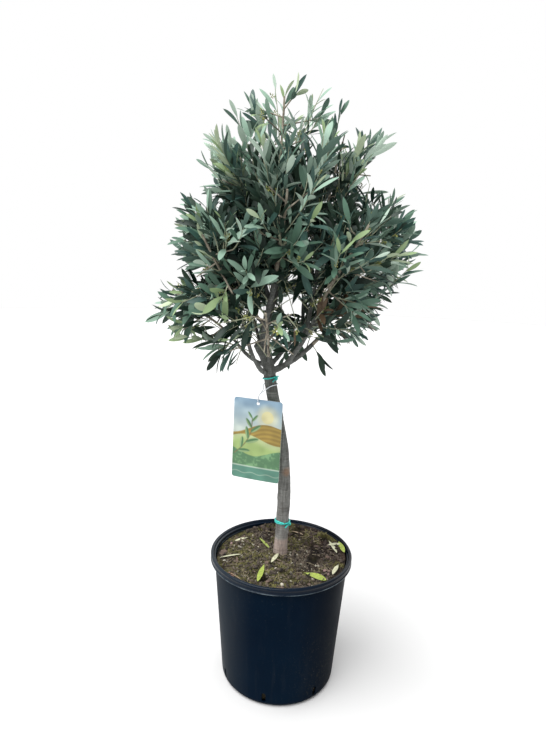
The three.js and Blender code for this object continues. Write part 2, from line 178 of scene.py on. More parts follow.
# a piece from points in mm and arrays of face corners; marks says which material each face takes
def addPiece(name, points, faceSets, materials, marks=None, crease=40, slot=None):
    mesh = bpy.data.meshes.new(name)
    faces = [face for faces in faceSets for face in faces.tolist()]
    mesh.from_pydata((points.reshape(-1, 3) * mm).tolist(), [], faces)
    for each in materials:
        mesh.materials.append(each)
    if marks is not None:
        mesh.polygons.foreach_set("material_index", marks.astype(np.int32))
    mesh.polygons.foreach_set("use_smooth", np.ones(len(faces), bool))
    mesh.set_sharp_from_angle(angle=math.radians(crease))
    mesh.update()
    piece = bpy.data.objects.new(name, mesh)
    bpy.context.collection.objects.link(piece)
    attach(piece, "root")
    return piece


# the mesh that a piece's modifiers give, in place of them
def applyModifiers(piece):
    shown = piece.evaluated_get(bpy.context.evaluated_depsgraph_get())
    mesh = bpy.data.meshes.new_from_object(shown)
    piece.modifiers.clear()
    piece.data = mesh
    return mesh


# quads of a grid of points, rows × columns, whose columns close on themselves
def gridFaces(rows, columns, closedRows=False):
    last = rows if closedRows else rows - 1
    i, j = np.meshgrid(np.arange(last), np.arange(columns), indexing="ij")
    k, l = (i + 1) % rows, (j + 1) % columns
    corners = [i * columns + j, i * columns + l, k * columns + l, k * columns + j]
    return np.stack(corners, axis=-1).reshape(-1, 4)


# triangles from the first and the last row of such a grid to a point each, which come after it
def capFaces(rows, columns):
    j = np.arange(columns)
    l = (j + 1) % columns
    first = rows * columns
    top = (rows - 1) * columns
    start = np.stack([np.full(columns, first), l, j], axis=1)
    end = np.stack([np.full(columns, first + 1), top + j, top + l], axis=1)
    return np.concatenate([start, end])


# the same faces for many alike bodies, each with size points
def repeated(faces, size, count):
    return (faces[None] + np.arange(count)[:, None, None] * size).reshape(-1, faces.shape[1])


# the faces of closed bodies: for each, rows of points round it and then a point at either end
def bodyFaces(rows, columns, count=1):
    size = rows * columns + 2
    return [repeated(make(rows, columns), size, count) for make in (gridFaces, capFaces)]


# two directions square to a row of tangents: across = tangent × the axis that it runs least along
def squareTo(tangents, chord):
    helper = np.eye(3)[np.argmin(np.abs(chord), axis=-1)]
    across = unit(np.cross(tangents, np.broadcast_to(helper[..., None, :], tangents.shape)))
    return across, np.cross(tangents, across)


# directions that stand off along by angle, each turned about it by turn
def offset(along, angle, turn):
    across, over = squareTo(along[..., None, :], along)
    side = swing(across[..., 0, :], over[..., 0, :], turn)
    return along * np.cos(angle)[..., None] + side * np.sin(angle)[..., None]


# closed round limbs: centre + across·r·cos a + over·r·sin a, for every path in paths[N, M, 3] and
# its radii[N, M], with a point at each end a little way out
def limbSurface(paths, radii, sides, dome=0.5):
    tangents = unit(np.gradient(paths, axis=1))
    across, over = squareTo(tangents, paths[:, -1] - paths[:, 0])
    ring = swing(across[:, :, None], over[:, :, None], circle(sides))
    rings = paths[:, :, None] + ring * radii[:, :, None, None]
    count, rows = paths.shape[:2]
    ends = np.stack([
        paths[:, 0] - tangents[:, 0] * radii[:, :1] * dome,
        paths[:, -1] + tangents[:, -1] * radii[:, -1:] * dome,
    ], axis=1)
    points = np.concatenate([rings.reshape(count, -1, 3), ends], axis=1)
    return points, bodyFaces(rows, sides, count)


# several such surfaces as one: their points in a row, their faces moved up to match
def gathered(surfaces):
    points, faceSets, start = [], [], 0
    for some, sets in surfaces:
        some = some.reshape(-1, 3)
        points.append(some)
        faceSets += [faces + start for faces in sets]
        start += len(some)
    return np.concatenate(points), faceSets


# materials

# a plain material; sockets are further inputs of its shader, with _ for a space
def newMaterial(name, colour, roughness, **sockets):
    material = bpy.data.materials.new(name)
    material.use_nodes = True
    shader = material.node_tree.nodes["Principled BSDF"]
    shader.inputs["Base Color"].default_value = (*colour, 1)
    shader.inputs["Roughness"].default_value = roughness
    for socket, value in sockets.items():
        shader.inputs[socket.replace("_", " ")].default_value = value
    material.diffuse_color = (*colour, 1)
    return material, shader


# a node whose inputs are values, or links from other sockets; returns its outputs
def node(material, kind, inputs=None, **settings):
    made = material.node_tree.nodes.new("ShaderNode" + kind)
    for setting, value in settings.items():
        setattr(made, setting, value)
    for key, value in (inputs or {}).items():
        if isinstance(value, bpy.types.NodeSocket):
            material.node_tree.links.new(value, made.inputs[key])
        else:
            made.inputs[key].default_value = value
    return made.outputs


def link(material, output, socket):
    material.node_tree.links.new(output, socket)


def objectPlace(material, scale=(1, 1, 1), rotation=(0, 0, 0)):
    place = node(material, "TexCoord")["Object"]
    inputs = {"Vector": place, "Scale": scale, "Rotation": rotation}
    return node(material, "Mapping", inputs)["Vector"]


def axisOf(material, place, axis):  # one of a place's X, Y and Z, in metres
    return node(material, "SeparateXYZ", {0: place})[axis]


def noise(material, place, scale, detail=3, roughness=0.55):
    inputs = {"Vector": place, "Scale": scale, "Detail": detail, "Roughness": roughness}
    return node(material, "TexNoise", inputs)["Fac"]


# toLow at low, toHigh at high, straight between and level outside
def ranged(material, value, low, high, toLow=0.0, toHigh=1.0):
    inputs = {"Value": value, "From Min": low, "From Max": high, "To Min": toLow, "To Max": toHigh}
    return node(material, "MapRange", inputs)["Result"]


def times(material, a, b):
    return node(material, "Math", {0: a, 1: b}, operation="MULTIPLY")[0]


def mixed(material, factor, a, b):  # a·(1 − factor) + b·factor
    made = material.node_tree.nodes.new("ShaderNodeMix")
    made.data_type = "RGBA"
    for socket, value in ((made.inputs[0], factor), (made.inputs[6], a), (made.inputs[7], b)):
        if isinstance(value, bpy.types.NodeSocket):
            link(material, value, socket)
        elif isinstance(value, tuple):
            socket.default_value = (*value, 1)
        else:
            socket.default_value = value
    return made.outputs[2]


# colours laid one over the other, each as far as its own cover goes
def layered(material, colour, *layers):
    for cover, over in layers:
        colour = mixed(material, cover, colour, over)
    return colour


# a colour that wanders from one to another, by noise of this scale and detail
def toned(material, first, second, scale, detail=3, roughness=0.55, edge=0.35):
    clouds = noise(material, objectPlace(material), scale, detail, roughness)
    return mixed(material, ranged(material, clouds, edge, 1 - edge), first, second)


# a material in such a colour; tones are what toned takes after the material
def tonedMaterial(name, colour, roughness, *tones, **sockets):
    made, shader = newMaterial(name, colour, roughness, **sockets)
    link(made, toned(made, *tones), shader.inputs["Base Color"])
    return made


def bumped(material, shader, height, distance, strength=1.0):
    inputs = {"Height": height, "Distance": distance, "Strength": strength}
    link(material, node(material, "Bump", inputs)["Normal"], shader.inputs["Normal"])


# the pot: a tapered wall, a rolled lip with a step under it, and slots through its lower corner
potShape = {
    "height": 262, "lipRadius": 140, "lipDepth": 14, "topRadius": 132, "baseRadius": 113.5,
    "corner": 12, "wall": 3, "sides": 192, "bead": 3.4, "crease": 40,
    # the middle of the base stands a little clear of the floor
    "dish": 2.2, "dishRadius": 70, "footRadius": 76,
    "slots": 7, "slotWidth": 8, "slotLow": 9, "slotHigh": 29, "slotFirst": -11.5, "slotReach": 14,
    # where the painted highlight line runs round the lip's lower edge, and how wide it is
    "lipHighlightAt": 249.2, "lipHighlightWide": 0.7,
}
# the pot's tints: the darkest, laid on the right, is painted shade, the grey on the left is dust with
# painted sheen, and the palest is a painted highlight line on the lip
potTints = {
    "plain": (0.008, 0.012, 0.02), "dark": (0.0004, 0.004, 0.011), "light": (0.001, 0.0064, 0.0155),
    "shade": (0.0003, 0.0022, 0.0055), "streaks": (0.017, 0.021, 0.026), "dustAndSheen": (0.03, 0.036, 0.038),
    "lipHighlight": (0.075, 0.1, 0.115), "specks": (0.1, 0.105, 0.09), "earth": (0.045, 0.042, 0.03),
}


def arc(middle, radius, start, end, count):  # middle + radius·(cos a, sin a), degrees
    a = np.radians(np.linspace(start, end, count))
    return np.array(middle) + radius * heading(a)[:, :2]


def straight(a, b, count):
    return np.linspace(a, b, count)


# a profile of (radius, height) turned round Z: (r·cos a, r·sin a, z); both its ends lie on the axis
def revolved(profile, sides):
    r, z = profile[1:-1, 0, None, None], profile[1:-1, 1, None, None]
    rings = r * heading(circle(sides)) + z * skyward
    ends = profile[[0, -1], 1, None] * skyward
    return np.concatenate([rings.reshape(-1, 3), ends]), bodyFaces(len(r), sides)


def potProfile(s):
    base, top, wall, c = s["baseRadius"], s["topRadius"], s["wall"], s["corner"]
    lip, high, bead, under = s["lipRadius"], s["height"], s["bead"], s["height"] - s["lipDepth"]
    dish, floor, slope = s["dish"], wall + s["dish"], (top - base) / (under - c)
    return np.concatenate([
        straight((0, dish), (s["dishRadius"], dish), 6),
        straight((s["footRadius"], 0), (base - c, 0), 4),  # the ring that it stands on
        arc((base - c, c), c, -84, 0, 9),
        straight((base + slope * 6, c + 6), (top - 0.6, under - 5), 40),  # up the wall
        arc((top + 1.4, under - 1.6), 1.6, 170, 90, 4),  # the step under the lip
        straight((top + 3, under), (lip - 1.4, under), 3),
        arc((lip - 1.2, under + 1.2), 1.2, -80, 60, 5),
        straight((lip - 1.7, under + 3.4), (lip - 1.9, high - 2 * bead - 0.6), 4),
        arc((lip - bead, high - bead), bead, -25, 180, 14),  # over the rolled edge
        arc((lip - 2 * bead - 2, high - bead), 2, 0, -90, 4),
        straight((top - 1.6, high - bead - 2.6), (top - wall + 0.4, under - 6), 4),
        straight((top - wall, under - 12), (base - wall, c + 2), 30),  # down inside
        arc((base - wall - c, c + 1.5), c, 0, -80, 6),
        straight((base - wall - c - 6, floor), (0, floor), 4),
    ])


# cutters for the slots: a stadium outline carried along the radius
def slotCutters(s):
    half = s["slotWidth"] / 2
    low, high = s["slotLow"] + half, s["slotHigh"] - half
    outline = np.concatenate([arc((0, high), half, 0, 180, 9), arc((0, low), half, 180, 360, 9)])
    outward = heading(np.radians(s["slotFirst"] - 90 + np.arange(s["slots"]) * 360 / s["slots"]))
    sideways = np.cross(skyward, outward)
    reach = s["baseRadius"] + np.array([-s["slotReach"], s["slotReach"]])
    loop = sideways[:, None] * outline[:, :1] + skyward * outline[:, 1:]
    rings = outward[:, None, None] * reach[:, None, None] + loop[:, None]
    ends = outward[:, None] * reach[:, None] + skyward * (low + high) / 2
    points = np.concatenate([rings.reshape(s["slots"], -1, 3), ends], axis=1)
    return points, bodyFaces(2, len(outline), s["slots"])


# the body is streaked, lighter on its left with dust and painted sheen, darkened on its right by
# painted shade, and splashed with earth low on its right; the lip carries a painted highlight line
# along its lower edge; places here are in metres
def potMaterial(name, gloss, roughness):
    s, tints = potShape, potTints
    made, shader = newMaterial(name, tints["plain"], roughness, Specular_IOR_Level=gloss)
    place = objectPlace(made)
    across, height = axisOf(made, place, "X"), axisOf(made, place, "Z")
    clouds = ranged(made, noise(made, place, 7, 4), 0.35, 0.7)
    streaks = noise(made, objectPlace(made, scale=(60, 60, 5)), 1, 4, 0.7)
    onLeft = ranged(made, across, 0.02, 0.1, 1, 0.06)
    atEdge = {0: height, 1: s["lipHighlightAt"] * mm, 2: s["lipHighlightWide"] * mm}
    atEdge = node(made, "Math", atEdge, operation="COMPARE")[0]
    specks = ranged(made, noise(made, place, 420, 2, 0.8), 0.69, 0.76, 0, 0.75)
    patches = ranged(made, noise(made, place, 9, 2), 0.42, 0.6)
    splashes = ranged(made, noise(made, place, 210, 3, 0.75), 0.56, 0.64, 0, 0.35)
    lowRight = times(made, ranged(made, across, 0.02, 0.08), ranged(made, height, 0.2, 0.05))
    colour = layered(
        made, mixed(made, clouds, tints["dark"], tints["light"]),
        # painted shade: the body darkens towards its right, away from the light
        (ranged(made, across, 0.04, 0.1, 0, 0.95), tints["shade"]),
        (times(made, ranged(made, streaks, 0.54, 0.8, 0, 0.3), onLeft), tints["streaks"]),
        # dust and painted sheen: the body lightens towards its left, where the light falls
        (ranged(made, across, -0.05, -0.13, 0, 0.4), tints["dustAndSheen"]),
        # painted highlight: a bright line round the lip's lower edge, broken up by the streaks' noise
        (times(made, atEdge, ranged(made, streaks, 0.35, 0.62)), tints["lipHighlight"]),
        (times(made, specks, patches), tints["specks"]),
        (times(made, splashes, lowRight), tints["earth"]),
    )
    link(made, colour, shader.inputs["Base Color"])
    link(made, ranged(made, clouds, 0, 1, roughness, roughness + 0.15), shader.inputs["Roughness"])
    bumped(made, shader, noise(made, place, 900, 2), 0.00012, 0.5)
    return made


def makePot():
    s = potShape
    points, faceSets = revolved(potProfile(s), s["sides"])
    materials = [potMaterial("pot_plastic", 0.02, 0.4), potMaterial("pot_lip", 0.12, 0.16)]
    firstCorner = np.concatenate([faces[:, 0] for faces in faceSets])
    onLip = points[firstCorner, 2] > s["height"] - s["lipDepth"] - 1
    pot = addPiece("pot_shell", points, faceSets, materials, onLip.astype(int), slot="pot")
    cutter = addPiece("slot_cutter", *slotCutters(s), [])
    cut = pot.modifiers.new("slots", "BOOLEAN")
    cut.operation, cut.solver, cut.object = "DIFFERENCE", "EXACT", cutter
    applyModifiers(pot).set_sharp_from_angle(angle=math.radians(s["crease"]))
    bpy.data.objects.remove(cutter)
    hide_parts("pot")
    print("pot:", len(pot.data.polygons), "faces")


makePot()


# the compost: a lumpy surface with moss, crumbs, bark chips, stones and fallen leaves
soilShape = {
    "edgeLevel": 248, "crownLevel": 254, "crownRadius": 30, "edgeRadius": 127.6, "calmWidth": 6,
    "rings": 84, "sides": 300, "seed": 5,
    # each size of lump: how high and how wide
    "lumps": [(2.2, 26), (2.1, 9), (1.5, 4.2), (0.7, 1.9)],
    # the back right is banked up: how high, and over which stretch of that way
    "bank": 9.5, "bankWay": (0.6, 0.8), "bankFrom": 10, "bankTo": 110,
    # pits, painted dark inside as shade: middle and radius, how deep they are, and how rough their edge is
    # and how coarsely
    "pits": [((64, -16), 17), ((34, 84), 20), ((-30, -90), 11), ((88, 62), 13), ((-72, 66), 12)],
    "pitDepth": 6, "pitRough": (0.22, 6), "clearOfPits": 0.25,
    # below the surface: radius and height down the inside of the pot's wall
    "wallTop": (124, 225), "footGap": 0.6, "footRows": [(11.5, 20), (9, 10), (0, 7)], "under": 8,
}
# the deep tint is painted shade, laid in the hollows and pits
soilTints = {
    "plain": (0.045, 0.035, 0.024), "dark": (0.012, 0.009, 0.007), "earth": (0.062, 0.048, 0.034),
    "red": (0.055, 0.026, 0.018), "grit": (0.14, 0.12, 0.088), "patch": (0.01, 0.007, 0.005),
    "wet": (0.013, 0.006, 0.004), "wetGrit": (0.075, 0.045, 0.034), "deep": (0.005, 0.004, 0.003),
    "moss": (0.05, 0.05, 0.012), "mossLight": (0.17, 0.16, 0.045),
}
# what lies strewn on it: how many, least and greatest half size, how flat, how far it tips,
# colour, roughness, and the share that is sunk
strewn = {
    "crumbs": (1300, 0.7, 4.4, 0.8, 0.5, (0.042, 0.032, 0.023), 0.95, 0.3),
    "pale_crumbs": (300, 0.7, 2.6, 0.8, 0.5, (0.125, 0.115, 0.09), 0.95, 0.2),
    "bark_chips": (60, 3, 8, 0.22, 0.5, (0.06, 0.04, 0.03), 0.85, 0.1),
    "stones": (14, 1.2, 3.2, 0.7, 0.4, (0.26, 0.24, 0.2), 0.7, 0.35),
}
# how much lighter, darker and wetter than its colour a strewn piece may be, the least share
# of its size and how much more, and how wide it is for its length
strewnShape = {"light": 2.2, "dark": 0.35, "wet": (0.5, 0.36, 0.36), "size": (0.6, 0.8), "wide": 0.8}
# single stones and chips: least share of their size and how much more, how far they tip and how
# proud they lie; and then where they lie, half their size, and their colour
placedShape = {"size": (0.75, 0.5), "tip": 0.25, "proud": 0.5}
placedBits = {
    "white_stone": ([(4, -104)], (5, 4, 3.2), (0.42, 0.39, 0.32)),
    "pale_chips": ([(-85, 23), (-79, 29), (-116, -22), (-110, -30), (12, 32)], (4.2, 2.6, 1.2),
                   (0.3, 0.28, 0.23)),
    "pink_stones": ([(84, -54), (92, -49), (90, -61), (79, -68), (-104, 40)], (3.6, 3, 2.4),
                    (0.2, 0.13, 0.12)),
    "pink_chips": ([(-93, -75), (-88, -82)], (7, 2, 1), (0.26, 0.13, 0.1)),
}
strawShape = {"count": 110, "length": (8, 30), "bend": 4, "radius": 0.45, "points": 9, "clear": 22,
              "tint": (0.2, 0.165, 0.1), "sunk": 0.3}
mossShape = {"blades": 6000, "height": (1.2, 3.2), "lean": (0.6, 0.6, 0.1), "sunk": 0.4, "clear": 4,
             "radii": (0.55, 0.42, 0.12), "thickness": (0.25, 1.05),
             "tints": ((0.19, 0.175, 0.065), (0.028, 0.026, 0.01))}


def flatly(x, y):  # places on the level through the origin, for the random field
    return np.stack([x, y, 0 * x], axis=-1)


# the sum of the lumps of some sizes, each high·field(p / wide)
def lumpsAt(x, y, first=0, last=None):
    sizes = list(enumerate(soilShape["lumps"], 1))[first:last]
    return sum(high * field(flatly(x, y) / wide, seed) for seed, (high, wide) in sizes)


# how deep in one of the pits a place lies, 0 at its rough edge to 1
def pitAt(x, y):
    s = soilShape
    share, wide = s["pitRough"]
    rough = share * field(flatly(x, y) / wide, 14)
    each = [1 - ease(np.hypot(x - px, y - py) / r + rough, 0.4, 1) for (px, py), r in s["pits"]]
    return np.max(each, axis=0)


# height of the compost: edge + rise·(1 − r/R), a bank at the back right, lumps that calm down
# towards the wall, and the pits
def soilHeight(x, y):
    s = soilShape
    r = np.hypot(x, y)
    rise = (s["crownLevel"] - s["edgeLevel"]) * (1 - ease(r, s["crownRadius"], s["edgeRadius"]))
    calm = ease(s["edgeRadius"] - r, 0, s["calmWidth"])
    backX, backY = s["bankWay"]
    bank = s["bank"] * ease(backX * x + backY * y, s["bankFrom"], s["bankTo"])
    return s["edgeLevel"] + rise + bank + lumpsAt(x, y) * calm - s["pitDepth"] * pitAt(x, y)


# how deep in a hollow a place lies, 0 to 1, by the two middle sizes of lump and the pits; the compost's
# material paints shade there
def hollowAt(x, y):
    return np.maximum(ease(-lumpsAt(x, y, 1, 3), 0.1, 1.7), pitAt(x, y))


# how mossy a place is, 0 to 1: two sizes of the random field, more towards the back left
def mossAt(x, y):
    p = flatly(x, y)
    spread = field(p / 34, 11) + 0.55 * field(p / 11, 12) - 0.0026 * x + 0.0012 * y
    return ease(spread, -0.3, 0.3)


soilLayers = {"moss": mossAt, "hollow": hollowAt}  # kept on the mesh for its material


# how dark and red the compost is, 0 to 1: more towards the back right
def wetness(made):
    turned = objectPlace(made, rotation=(0, 0, math.radians(-48)))
    return ranged(made, axisOf(made, turned, "X"), 0.02, 0.09, 0, 0.85)


# earth in two tones with red and pale grit, darker and redder where it is wet, darker in broad patches,
# with painted shade in the hollows and pits, and green where the moss is
def soilMaterial():
    tints = soilTints
    made, shader = newMaterial("compost", tints["plain"], 0.95, Specular_IOR_Level=0.15)
    place = objectPlace(made)
    coarse = ranged(made, noise(made, place, 90, 4, 0.7), 0.35, 0.66)
    fine = ranged(made, noise(made, place, 420, 3, 0.7), 0.42, 0.68)
    moss, hollow = [node(made, "Attribute", attribute_name=name)["Fac"] for name in soilLayers]
    colour = layered(
        made, mixed(made, coarse, tints["dark"], tints["earth"]),
        (ranged(made, noise(made, place, 26, 2), 0.52, 0.66, 0, 0.4), tints["red"]),
        (fine, tints["grit"]),
        (wetness(made), mixed(made, fine, tints["wet"], tints["wetGrit"])),
        (ranged(made, noise(made, place, 34, 3), 0.48, 0.58, 0, 0.75), tints["patch"]),
        (times(made, moss, coarse), mixed(made, fine, tints["moss"], tints["mossLight"])),
        # painted shade: darker in the hollows and pits
        (ranged(made, hollow, 0, 1, 0, 0.9), tints["deep"]),
    )
    link(made, colour, shader.inputs["Base Color"])
    bumped(made, shader, fine, 0.0012, 0.8)
    return made


# the whole compost: the height field on rings, then straight down inside the wall
def soilSurface():
    s, pot = soilShape, potShape
    r = np.linspace(0, s["edgeRadius"], s["rings"] + 1)[1:, None]
    ahead = heading(circle(s["sides"]))
    x, y = r * ahead[:, 0], r * ahead[:, 1]
    top = np.stack([x, y, soilHeight(x, y)], axis=-1)
    foot = pot["baseRadius"] - pot["wall"] - pot["corner"] - s["footGap"]
    low = np.array([s["wallTop"], *[(foot + out, up) for out, up in s["footRows"]]])
    side = low[:, None, :1] * ahead + low[:, None, 1:] * skyward
    rows = np.concatenate([side[::-1], top[::-1]])
    middle = [[0, 0, s["under"]], [0, 0, soilHeight(np.zeros(1), np.zeros(1))[0]]]
    points = np.concatenate([rows.reshape(-1, 3), middle])
    return points, bodyFaces(len(rows), s["sides"])


# rough balls: rings at latitudes, each point pushed by the random field, shifted on for each ball,
# then stretched and laid
def roughBalls(middles, sizes, axes, seed, sides=7, rows=4, rough=0.28, fine=1.3, shift=7.3):
    up = np.linspace(-math.pi / 2, math.pi / 2, rows + 2)[1:-1, None, None]
    rings = np.cos(up) * heading(circle(sides)) + np.sin(up) * skyward
    ball = np.concatenate([rings.reshape(-1, 3), [-skyward, skyward]])
    shifted = ball[None] * fine + np.arange(len(middles))[:, None, None] * shift
    pushed = ball * (1 + rough * field(shifted, seed))[..., None]
    local = pushed * sizes[:, None]
    points = middles[:, None] + np.einsum("nki,nij->nkj", local, axes)
    return points, bodyFaces(rows, sides, len(middles))


# random places on the compost outside its pits, evenly spread: r = R·√u
def soilPlaces(random, count, clear=8):
    r = (soilShape["edgeRadius"] - clear) * np.sqrt(random.random(2 * count))
    a = random.random(2 * count) * 2 * math.pi
    x, y = r * np.cos(a), r * np.sin(a)
    outside = np.nonzero(pitAt(x, y) < soilShape["clearOfPits"])[0][:count]
    return np.stack([x, y, soilHeight(x, y)], axis=1)[outside]


# random upright frames tipped by up to tip: three square directions for each
def tippedFrames(random, count, tip):
    normal = unit(np.stack([
        tip * random.normal(size=count), tip * random.normal(size=count), np.ones(count),
    ], axis=1))
    ahead = heading(random.random(count) * 2 * math.pi)
    ahead = unit(ahead - normal * dot(ahead, normal))
    return np.stack([ahead, np.cross(normal, ahead), normal], axis=1)


# most are near the least size: low + (high − low)·u²
def strewBits(random, name, count, low, high, flat, tip, colour, roughness, sunk):
    s = strewnShape
    sizes = low + (high - low) * random.random((count, 1)) ** 2
    least, more = s["size"]
    sizes = sizes * (least + more * random.random((count, 3))) * np.array([1, s["wide"], flat])
    middles = soilPlaces(random, count)
    middles[:, 2] += sizes[:, 2] * (1 - 2 * sunk)
    surface = roughBalls(middles, sizes, tippedFrames(random, count, tip), 21)
    made, shader = newMaterial(name, colour, roughness)
    light = tuple(min(1, s["light"] * c) for c in colour)
    dark = tuple(s["dark"] * c for c in colour)
    wet = tuple(share * c for share, c in zip(s["wet"], colour))
    tone = mixed(made, wetness(made), toned(made, dark, light, 60, 4, 0.65, 0.4), wet)
    link(made, tone, shader.inputs["Base Color"])
    addPiece(name, *surface, [made], slot="soil")


def placeBits(random, name, places, size, colour):
    s = placedShape
    x, y = np.array(places, float).T
    middles = np.stack([x, y, soilHeight(x, y) + s["proud"] * size[2]], axis=1)
    least, more = s["size"]
    sizes = np.array(size) * (least + more * random.random((len(x), 3)))
    surface = roughBalls(middles, sizes, tippedFrames(random, len(x), s["tip"]), 31)
    addPiece(name, *surface, [newMaterial(name, colour, 0.8)[0]], slot="soil")


# straws and rootlets: thin tubes that lie on the surface, bent to one side by 4t²
def makeStraws(random):
    s = strawShape
    count = s["count"]
    foot = soilPlaces(random, count, s["clear"])
    ahead = heading(random.random(count) * 2 * math.pi)[:, :2]
    t = np.linspace(-0.5, 0.5, s["points"])
    length = drawn(random, s["length"], count)[:, None, None]
    bend = (random.normal(size=count) * s["bend"])[:, None, None]
    aside = np.stack([-ahead[:, 1], ahead[:, 0]], axis=1)
    flat = foot[:, None, :2] + ahead[:, None] * t[:, None] * length
    flat = flat + aside[:, None] * (4 * t**2)[:, None] * bend
    high = soilHeight(flat[..., 0], flat[..., 1]).max(axis=1, keepdims=True) * np.ones(len(t))
    paths = np.concatenate([flat, high[..., None] - s["sunk"]], axis=-1)
    straw, _ = newMaterial("straw", s["tint"], 0.8)
    radii = np.full((count, len(t)), s["radius"])
    addPiece("straws", *limbSurface(paths, radii, 5), [straw], slot="soil")


# moss: short spikes where the moss is thick, curved by t²
def makeMoss(random):
    s = mossShape
    places = soilPlaces(random, s["blades"] * 3, s["clear"])
    thick = mossAt(places[:, 0], places[:, 1]) > drawn(random, s["thickness"], len(places))
    places = places[thick][:s["blades"]]
    count = len(places)
    lean = random.normal(size=(count, 3)) * s["lean"]
    height = drawn(random, s["height"], count)[:, None]
    t = np.array([0, 0.55, 1])[:, None]
    paths = places[:, None] + height[:, None] * (skyward * t + lean[:, None] * t**2)
    radii = np.array(s["radii"]) * np.ones((count, 1))
    green = tonedMaterial("moss", (0.12, 0.12, 0.035), 0.9, *s["tints"], 40, 4, 0.65, 0.4)
    surface = limbSurface(paths - skyward * s["sunk"], radii, 3)
    addPiece("moss", *surface, [green], slot="soil")
    print("compost:", count, "moss blades")


def makeSoil():
    random = np.random.default_rng(soilShape["seed"])
    points, faceSets = soilSurface()
    soil = addPiece("compost", points, faceSets, [soilMaterial()], slot="soil", crease=180)
    for name, share in soilLayers.items():
        layer = soil.data.attributes.new(name, "FLOAT", "POINT")
        layer.data.foreach_set("value", share(points[:, 0], points[:, 1]).astype(np.float32))
    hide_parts("soil")
    for name, bits in strewn.items():
        strewBits(random, name, *bits)
    for name, bits in placedBits.items():
        placeBits(random, name, *bits)
    makeStraws(random)
    makeMoss(random)


makeSoil()


# the tree's limbs, by the same rule as its solids
trunkShape = {
    "line": [(-2, 0, 242), (0, 0, 321), (1, 0, 381), (-6, 0, 478), (-28, 0, 578),
             (-40, 0, 643), (-56, 0, 675)],
    "points": 220, "footRadius": 12.2, "topRadius": 11, "flare": 3.2, "flareFade": 0.06,
}
# the crown's outline: four ellipsoids, each by its middle and how far it reaches
outline = np.array([
    [(-12, 5, 1060), (98, 78, 86)],
    [(-4, 5, 988), (172, 150, 118)],
    [(2, 0, 862), (244, 232, 138)],
    [(-34, -5, 744), (234, 222, 108)],
], float)
# the masses of foliage, by their middles
masses = {
    "crown_top": (-25, 5, 1052), "upper_left": (-92, -2, 968), "upper_right": (66, 8, 968),
    "front_upper": (-14, -122, 888), "back_upper": (6, 120, 890), "left_side": (-148, 0, 862),
    "right_side": (158, 5, 870), "front_left": (-118, -114, 806),
    "front_right": (86, -114, 822), "low_left": (-176, -10, 735), "low_right": (115, -10, 730),
    "low_front": (-35, -112, 705), "back_left": (-98, 124, 776), "back_right": (75, 122, 780),
}
# each bough: its parent, where on it, its rise in degrees, the mass it enters, its radius
boughs = {
    "leader": ("trunk", 0.97, 84, "front_upper", 6.4),
    "centre_bough": ("leader", 0.42, 48, "crown_top", 4.4),
    "upper_left_bough": ("leader", 0.62, 64, "upper_left", 3.8),
    "left_bough": ("leader", 0.3, 38, "left_side", 3.6),
    "low_right_bough": ("trunk", 0.87, 24, "low_right", 6.2),
    "right_bough": ("low_right_bough", 0.35, 44, "front_right", 4.8),
    "right_side_bough": ("right_bough", 0.55, 50, "right_side", 3.8),
    "upper_right_bough": ("right_bough", 0.42, 66, "upper_right", 4),
    "low_left_bough": ("trunk", 0.9, 2, "low_left", 4),
    "front_left_bough": ("trunk", 0.86, 12, "front_left", 4),
    "low_front_shoot": ("trunk", 0.9, 30, "low_front", 3.4),
    "back_bough": ("leader", 0.2, 56, "back_upper", 4.4),
    "back_left_bough": ("trunk", 0.93, 34, "back_left", 4.2),
    "back_right_bough": ("trunk", 0.89, 36, "back_right", 4.4),
}
boughShape = {"tipShare": 0.62, "upturn": 0.25}
crown = {"axisFoot": (-30, 0, 707), "massRadius": 130, "margin": 3, "probe": 2.0, "boughEnd": 0.68}
stemShape = {"tipRadius": 1.8, "reach": 0.6, "upturn": 0.4, "points": 24,
             "twigs": 8, "from": 0.15, "to": 0.9}
twigShape = {"radius": 1.5, "tipRadius": 1.0, "reach": 0.66, "stray": 0.5, "checks": (0.4, 0.7)}

middles = np.array(list(masses.values()), float)
massIndex = {name: i for i, name in enumerate(masses)}
limbs = {}  # name: (path, radii), from the trunk outwards


# a place is in the crown where it lies in one of the outline's ellipsoids
def inOutline(p, grown=1.0):
    away = (p[..., None, :] - outline[:, 0]) / (outline[:, 1] * grown)
    return (np.linalg.norm(away, axis=-1) <= 1).any(axis=-1)


# a mass owns the places nearer to its own middle than to the others', by the margin
def owns(index, p):
    distance = np.linalg.norm(p[..., None, :] - middles, axis=-1)
    own = distance[..., index]
    others = np.delete(distance, index, axis=-1).min(axis=-1)
    return (own <= crown["massRadius"]) & inOutline(p) & (own + crown["margin"] <= others)


# how far a mass owns the way from start along direction
def room(index, start, direction):
    steps = np.arange(1, 100) * crown["probe"]
    inside = owns(index, start[..., None, :] + steps[:, None] * direction[..., None, :])
    return np.argmin(inside, axis=-1) * crown["probe"]


# a share of the way from a mass's middle to its edge
def towardsEdge(index, direction, share):
    middle = middles[index]
    return middle + direction * room(index, middle, direction) * share


# numbers from 0 to 1 that follow from a seed, as in the solids
def seededRow(seed):
    state = seed * 7919 + 12345
    while True:
        state = (state * 1664525 + 1013904223) % 2**32
        yield state / 2**32


def growTrunk():
    s = trunkShape
    path = through(s["line"], s["points"])
    share = np.linspace(0, 1, len(path))
    radii = s["footRadius"] + (s["topRadius"] - s["footRadius"]) * share
    limbs["trunk"] = path, radii + s["flare"] * np.exp(-share / s["flareFade"])


